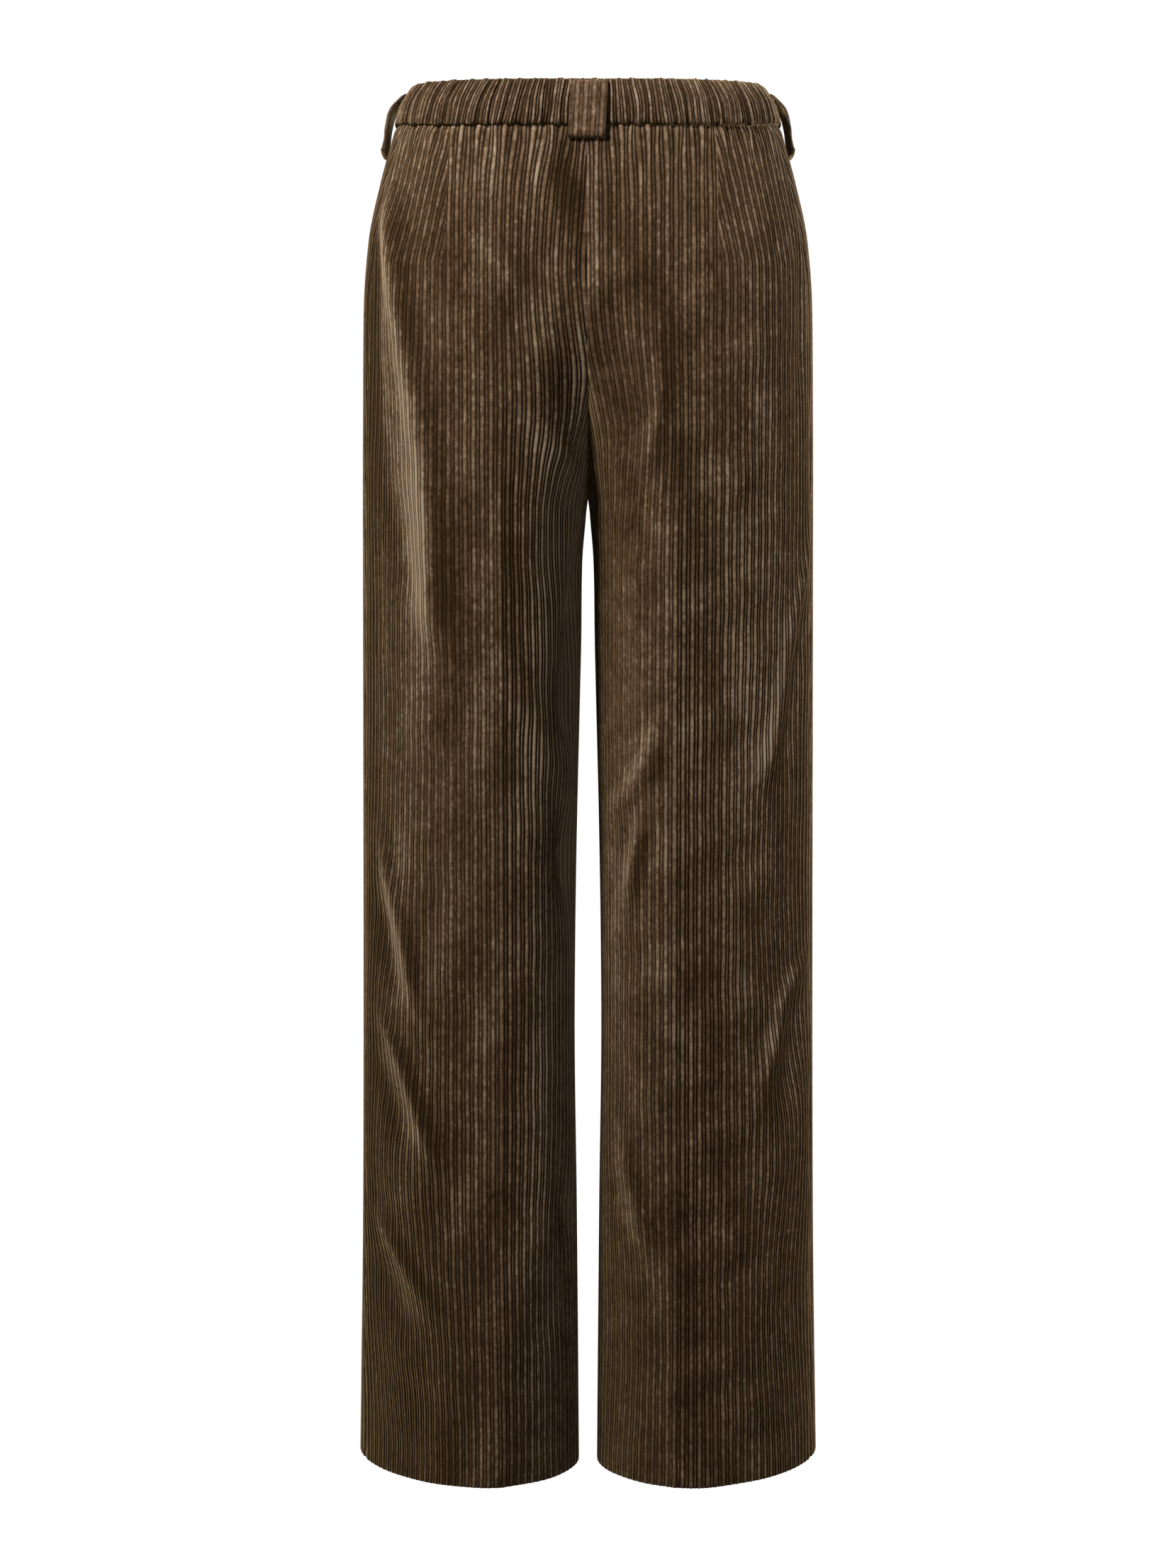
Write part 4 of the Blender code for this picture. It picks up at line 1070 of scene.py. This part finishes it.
def addStrand(thread):
    strands = bmesh.new()
    offset, bows = button["holeOffset"], button["threadBow"]
    seat = button["thick"] / 2 * buttonProfile[0][1] - button["threadSink"]
    turns = [math.pi * step / button["threadSteps"] for step in range(button["threadSteps"] + 1)]
    for y in (-offset, offset):
        for bow in (-bows, bows):
            arc = [Vector((-offset * math.cos(turn), y + bow, seat + button["threadRise"] * math.sin(turn)))
                   for turn in turns]
            for start, end in zip(arc, arc[1:]):
                length = (end - start).length * button["threadOverlap"]
                layAlong(addRod(strands, 10, button["threadRadius"], length), start, end)
    return finishPiece("button_thread", strands, thread)


def addButton(horn, thread):
    ring = ringAt(bandDepth(0.5))
    x, y, outX, outY = (float(value) for value in ring.place(ring.total - band["lap"] / 2))
    seat = band["frontLift"] + cloth["waleHeight"] / 2 + band["lapRise"] + form["seamGap"] + button["thick"] / 2
    centre = Vector((x + outX * seat, y + outY * seat, level(ring.depth, y + outY * seat)))
    turned = Vector((outX, outY, 0.0)).to_track_quat("Z", "Y").to_matrix().to_4x4()
    pieces = addDisc(horn), addStrand(thread)
    for piece in pieces:
        piece.data.transform(turned)
        piece.data.transform(Matrix.Translation(centre))
    return pieces


def feed(socket, value):
    if isinstance(value, bpy.types.NodeSocket):
        socket.id_data.links.new(value, socket)
    else:
        socket.default_value = value


def addNode(tree, kind, inputs=None, **settings):
    node = tree.nodes.new(kind)
    for name, value in settings.items():
        setattr(node, name, value)
    for socket, value in (inputs or {}).items():
        feed(node.inputs[socket], value)
    return node


def maths(operation, one, other=0.0):  # at least one of the two is a socket
    tree = (one if isinstance(one, bpy.types.NodeSocket) else other).id_data
    return addNode(tree, "ShaderNodeMath", {0: one, 1: other}, operation=operation).outputs[0]


def plus(one, other):
    return maths("ADD", one, other)


def times(one, other):
    return maths("MULTIPLY", one, other)


def noiseAt(u, v, scaleU, scaleV, detail=2.0, rough=0.5):  # noise with its own scale along and across
    spot = addNode(u.id_data, "ShaderNodeCombineXYZ", {0: times(u, scaleU), 1: times(v, scaleV)})
    return addNode(u.id_data, "ShaderNodeTexNoise", {"Vector": spot.outputs[0], "Scale": 1.0, "Detail": detail,
                                                     "Roughness": rough}).outputs["Fac"]


def bumpOf(look, height):
    return addNode(height.id_data, "ShaderNodeBump", {"Strength": look["bump"], "Distance": look["bumpHeight"],
                                                      "Height": height}).outputs[0]


def rampOf(tone, first, last, between=()):  # each stop is a position and a colour
    ramp = addNode(tone.id_data, "ShaderNodeValToRGB", {0: tone})
    stops = ramp.color_ramp.elements
    for stop, (position, colour) in zip(stops, (first, last)):
        stop.position, stop.color = position, (*colour, 1)
    for position, colour in between:
        stops.new(position).color = (*colour, 1)
    return ramp.outputs[0]


def newMaterial(name):
    material = bpy.data.materials.new(name)
    material.use_nodes = True
    return material, material.node_tree


def finishMaterial(material, **inputs):
    sockets = {socket.name.replace(" ", ""): socket for socket in material.node_tree.nodes["Principled BSDF"].inputs}
    for name, value in inputs.items():
        feed(sockets[name], value)
    return material


def clothPlace(tree):  # along the cloth's width and down its length, in metres
    uvMap = addNode(tree, "ShaderNodeUVMap", uv_map="cloth")
    split = addNode(tree, "ShaderNodeSeparateXYZ", {0: uvMap.outputs[0]})
    return split.outputs[0], split.outputs[1]


corduroyLook = {
    # the first colour is painted shade, near black, in the grooves between the wales; the groove width and bottom
    # below set how wide it is
    "groove": (0.0050, 0.0026, 0.0010),
    "deep": (0.0160, 0.0076, 0.0023),
    "middle": (0.0530, 0.0306, 0.0158),
    "crest": (0.158, 0.114, 0.074),
    "stops": (0.12, 0.46, 0.86),  # the tones that get the last three colours
    "grooveWidth": 0.0016,
    "grooveBottom": 0.00005,
    "waver": 0.0006,  # how far the wales' colour wavers sideways, and the size of the waves
    "waverScale": (30, 22),
    "tone": 0.46,  # the nap's mean tone, and how far each cause moves it
    "wales": 0.08,
    "brushed": 0.45,
    "narrow": -0.11,
    "noises": {  # scale across and down the cloth, detail, roughness, and how far it moves the tone
        "streaks": (1.0, 85, 4.0, 0.7, 0.84),
        "pile": (1500, 900, 2.0, 0.6, 0.60),
        "flecks": (420, 230, 3.0, 0.65, 0.90),
        "clouds": (48, 60, 4.0, 0.6, 0.45),
    },
    "streakStep": 7.31,  # how far apart neighbouring wales lie in the noise of the streaks
    "firstPair": 200,  # counts the pairs from far enough that none is under 0
    "sheen": 0.40,
    "sheenRoughness": 0.38,
    "sheenTint": (0.62, 0.43, 0.18),
    "roughness": 0.9,
    "specular": 0.03,
    "bump": 0.55,
    "bumpHeight": 0.00045,
    "bumpShares": (0.7, 0.45, 0.25),  # of the wales, the pile and the flecks
}


def corduroyMaterial(name, tint=(1.0, 1.0, 1.0)):
    look = corduroyLook
    material, tree = newMaterial(name)
    u, v = clothPlace(tree)
    shaken = plus(u, times(plus(noiseAt(u, v, *look["waverScale"]), -0.5), look["waver"]))
    pairs = plus(times(shaken, 1 / cloth["pairPitch"]), cloth["creaseShare"] + look["firstPair"])
    share = maths("FRACT", pairs)
    isNarrow = maths("GREATER_THAN", share, cloth["wideShare"])
    waleNumber = plus(times(maths("FLOOR", pairs), 2.0), isNarrow)
    # 0 in a groove, 1 on a wale: the mask of the painted shade in the grooves, and the wales' bump height
    toFirst = maths("MINIMUM", share, maths("SUBTRACT", 1.0, share))
    toSecond = maths("ABSOLUTE", maths("SUBTRACT", share, cloth["wideShare"]))
    toGroove = times(maths("MINIMUM", toFirst, toSecond), cloth["pairPitch"])
    grooveShadeAndRelief = addNode(tree, "ShaderNodeMapRange", {0: toGroove, 1: look["grooveBottom"], 2: look["grooveWidth"]},
                     interpolation_type="SMOOTHSTEP").outputs[0]
    nap, close = (addNode(tree, "ShaderNodeAttribute", attribute_name=layer).outputs["Fac"]
                  for layer in ("nap", "close"))
    # the painted groove shade is filled in where the fill is over 0, and deepened where it is under 0
    grooveShadeAndRelief = plus(grooveShadeAndRelief, times(maths("SUBTRACT", 1.0, grooveShadeAndRelief), close))
    # nap: each wale has its own tone, streaks that run down it, and fine pile
    waleTone = addNode(tree, "ShaderNodeTexWhiteNoise", {"W": waleNumber}, noise_dimensions="1D").outputs["Value"]
    tone = times(plus(waleTone, -0.5), look["wales"])
    noises = {}
    for cause, (*scales, weight) in look["noises"].items():
        noises[cause] = noiseAt(times(waleNumber, look["streakStep"]) if cause == "streaks" else u, v, *scales)
        tone = plus(tone, times(plus(noises[cause], -0.5), weight))
    # painted light and shade from the mesh attribute, and the narrow wales darker
    tone = plus(plus(tone, times(nap, look["brushed"])), times(isNarrow, look["narrow"]))
    deep, middle, crest = zip(look["stops"], (look["deep"], look["middle"], look["crest"]))
    colour = rampOf(plus(tone, look["tone"]), deep, crest, [middle])
    # painted shade in the grooves
    shade = addNode(tree, "ShaderNodeMix", {0: grooveShadeAndRelief, 6: (*look["groove"], 1), 7: colour}, data_type="RGBA")
    # a copy with a tint over 1 is drawn lighter: painted light on the loops
    bright = addNode(tree, "ShaderNodeMix", {0: 1.0, 6: shade.outputs[2], 7: (*tint, 1)},
                     data_type="RGBA", blend_type="MULTIPLY")
    parts = zip((grooveShadeAndRelief, noises["pile"], noises["flecks"]), look["bumpShares"])
    wales, pile, flecks = (times(part, weight) for part, weight in parts)
    height = plus(plus(wales, pile), flecks)
    return finishMaterial(material, BaseColor=bright.outputs[2], Normal=bumpOf(look, height),
                          Roughness=look["roughness"], SpecularIORLevel=look["specular"],
                          SheenWeight=look["sheen"], SheenRoughness=look["sheenRoughness"],
                          SheenTint=(*look["sheenTint"], 1))


insideLook = {  # the plain woven inside of the corduroy
    "yarns": (0.0007, 0.0009),
    "weave": 0.12,
    "unevenness": (60, 40, 3.0),
    "tones": ((0.25, (0.028, 0.018, 0.011)), (0.75, (0.058, 0.039, 0.026))),
    "bump": 0.4,
    "bumpHeight": 0.0002,
    "roughness": 0.92,
    "specular": 0.1,
}
hornLook = {
    "bands": {"Scale": 180.0, "Distortion": 9.0, "Detail": 3.0, "Detail Scale": 1.5},
    "tones": ((0.0, (0.012, 0.006, 0.004)), (1.0, (0.050, 0.028, 0.015))),
    "scratches": {"Scale": 900.0, "Detail": 3.0},
    "roughness": {3: 0.26, 4: 0.42},  # the least and the most
}
threadLook = {
    "ply": {"Scale": 2600.0, "Detail": 2.0},
    "tones": ((0.3, (0.030, 0.019, 0.012)), (0.7, (0.075, 0.050, 0.033))),
    "roughness": 0.6,
}


def clothBackMaterial():
    look = insideLook
    material, tree = newMaterial("corduroyInside")
    u, v = clothPlace(tree)
    weave = times(*(maths("SINE", times(along, 2 * math.pi / yarn)) for along, yarn in zip((v, u), look["yarns"])))
    tone = plus(times(weave, look["weave"]), noiseAt(u, v, *look["unevenness"]))
    return finishMaterial(material, BaseColor=rampOf(tone, *look["tones"]), Normal=bumpOf(look, weave),
                          Roughness=look["roughness"], SpecularIORLevel=look["specular"])


def hornMaterial():
    material, tree = newMaterial("hornButton")
    spot = addNode(tree, "ShaderNodeTexCoord").outputs["Object"]
    bands = addNode(tree, "ShaderNodeTexWave", {0: spot, **hornLook["bands"]}).outputs["Fac"]
    scratches = addNode(tree, "ShaderNodeTexNoise", {0: spot, **hornLook["scratches"]}).outputs["Fac"]
    rough = addNode(tree, "ShaderNodeMapRange", {0: scratches, **hornLook["roughness"]}).outputs[0]
    return finishMaterial(material, BaseColor=rampOf(bands, *hornLook["tones"]), Roughness=rough)


def threadMaterial():
    material, tree = newMaterial("brownThread")
    spot = addNode(tree, "ShaderNodeTexCoord").outputs["Object"]
    ply = addNode(tree, "ShaderNodeTexNoise", {0: spot, **threadLook["ply"]}).outputs["Fac"]
    return finishMaterial(material, BaseColor=rampOf(ply, *threadLook["tones"]), Roughness=threadLook["roughness"])


# The studio: pale floor, white surround, a soft key from the wearer's left behind, a weak fill.
studio = {
    "floorDrop": 0.35,
    "floorRadius": 9.0,
    "floorTone": 0.16,
    "cameraBack": 3.2,
    "cameraZ": -0.1787,
    "pitchDown": 6.455,
    "lens": 91.25,
    "surround": 0.06,
    "aim": (0.0, 0.0, -0.20),
}
lights = {  # power, place and size
    "keyLight": (142.0, (1.05, 1.20, 1.15), 0.55),
    "rimLight": (52.0, (-1.80, 0.12, 0.10), 0.8),
    "fillLight": (15.0, (-0.55, 2.1, 0.4), 1.4),
    "frontLight": (130.0, (-1.5, -1.9, 0.9), 1.0),
    "frontFill": (50.0, (1.7, -1.4, 0.4), 1.2),
}


def addLight(name, power, spot, size):
    lamp = bpy.data.lights.new(name, "AREA")
    lamp.shape = "DISK"
    lamp.energy = power
    lamp.size = size
    holder = addObject(name, lamp)
    holder.location = spot
    holder.rotation_mode = "QUATERNION"
    holder.rotation_quaternion = (Vector(studio["aim"]) - Vector(spot)).to_track_quat("-Z", "Y")
    holder.visible_camera = False


def showWhite(tree, output, lit, kind):  # what the camera sees is plain white, and the light comes from lit
    white = addNode(tree, kind, {0: (1, 1, 1, 1), 1: 1.0})
    ray = addNode(tree, "ShaderNodeLightPath")
    mix = addNode(tree, "ShaderNodeMixShader", {0: ray.outputs["Is Camera Ray"], 1: lit, 2: white.outputs[0]})
    feed(tree.nodes[output].inputs[0], mix.outputs[0])


def addStudio():
    world = bpy.data.worlds.new("surround")
    bpy.context.scene.world = world
    world.use_nodes = True
    shade = world.node_tree.nodes["Background"]
    shade.inputs[0].default_value = (1, 1, 1, 1)
    shade.inputs[1].default_value = studio["surround"]
    showWhite(world.node_tree, "World Output", shade.outputs[0], "ShaderNodeBackground")
    shape = bmesh.new()
    bmesh.ops.create_circle(shape, cap_ends=True, segments=96, radius=studio["floorRadius"])
    bmesh.ops.translate(shape, verts=shape.verts, vec=(0, 0, cadBounds[0].z - studio["floorDrop"]))
    pale, ground = newMaterial("paleFloor")
    finishMaterial(pale, BaseColor=(*[studio["floorTone"]] * 3, 1), Roughness=0.9)
    showWhite(ground, "Material Output", ground.nodes["Principled BSDF"].outputs[0], "ShaderNodeEmission")
    floor = finishPiece("floor", shape, pale)
    for name, (power, spot, size) in lights.items():
        addLight(name, power, spot, size)
    lens = bpy.data.cameras.new("studioCamera")
    lens.sensor_width = 36.0
    lens.lens = studio["lens"]
    camera = addObject("studioCamera", lens)
    camera.location = (0.0, studio["cameraBack"], studio["cameraZ"])
    camera.rotation_euler = (math.radians(90 - studio["pitchDown"]), 0.0, math.radians(180))
    bpy.context.scene.camera = camera
    bpy.context.scene.view_settings.view_transform = "Standard"


# The flat cut of what shows of a panel: the rectangle that it is cut from, and its own area.
cuts = {
    "back": {"flat": (0.310, 1.095), "area": 0.3025},
    "front": {"flat": (0.360, 1.085), "area": 0.3195},
}


def place(piece, slot, *nodes):
    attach(piece, "root")
    if nodes:
        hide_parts(*nodes)
    print(piece.name, len(piece.data.polygons), "faces")
    return piece


def placeLoop(node, table, middle):
    piece = place(addLoop(f"cloth_{node}", [litLoopCorduroy], table, middle), "loop_corduroy", node)


addStudio()
print("studio ready")
corduroy = corduroyMaterial("corduroy")
# the waistband is drawn a little lighter and bluer, and the loops much lighter: painted light on the loops
bandCorduroy = corduroyMaterial("waistbandCorduroy", (1.12, 1.13, 1.20))
litLoopCorduroy = corduroyMaterial("litLoopCorduroy", (1.40, 1.46, 1.66))
inside = clothBackMaterial()
thread = threadMaterial()
for half in sideSigns:
    for face, cut in cuts.items():
        piece = place(addPanel(half, face, [corduroy, inside]), "corduroy", f"{face}_{half}")
print("panels ready")
backBand = place(addBackBand([bandCorduroy, inside]), "waistband_corduroy", "waistband_back")
for half in sideSigns:
    frontBand = place(addFrontBand(half, [bandCorduroy, inside]), "waistband_corduroy", f"waistband_front_{half}")
    frontBandReach(half)
print("waistband ready")
placeLoop("belt_loop_back", flatLoop, lambda ring: loops["backLean"] * (ring.depth + loops["backLeanFrom"]))
for half, side in sideSigns.items():
    placeLoop(f"belt_loop_side_{half}", archedLoop, lambda ring: side * (ring.sideSeam + loops["pastSideSeam"]))
    placeLoop(f"belt_loop_front_{half}", archedLoop,
              lambda ring: side * (ring.frontCrease + loops["pastFrontCrease"]))
flap = place(addFly([corduroy, inside]), "corduroy", "fly_flap")
stitches = place(addStitches(thread), "corduroy")
disc, strand = addButton(hornMaterial(), thread)
place(disc, "button", "waist_button")
place(strand, "corduroy")
print("loops, fly and button ready")
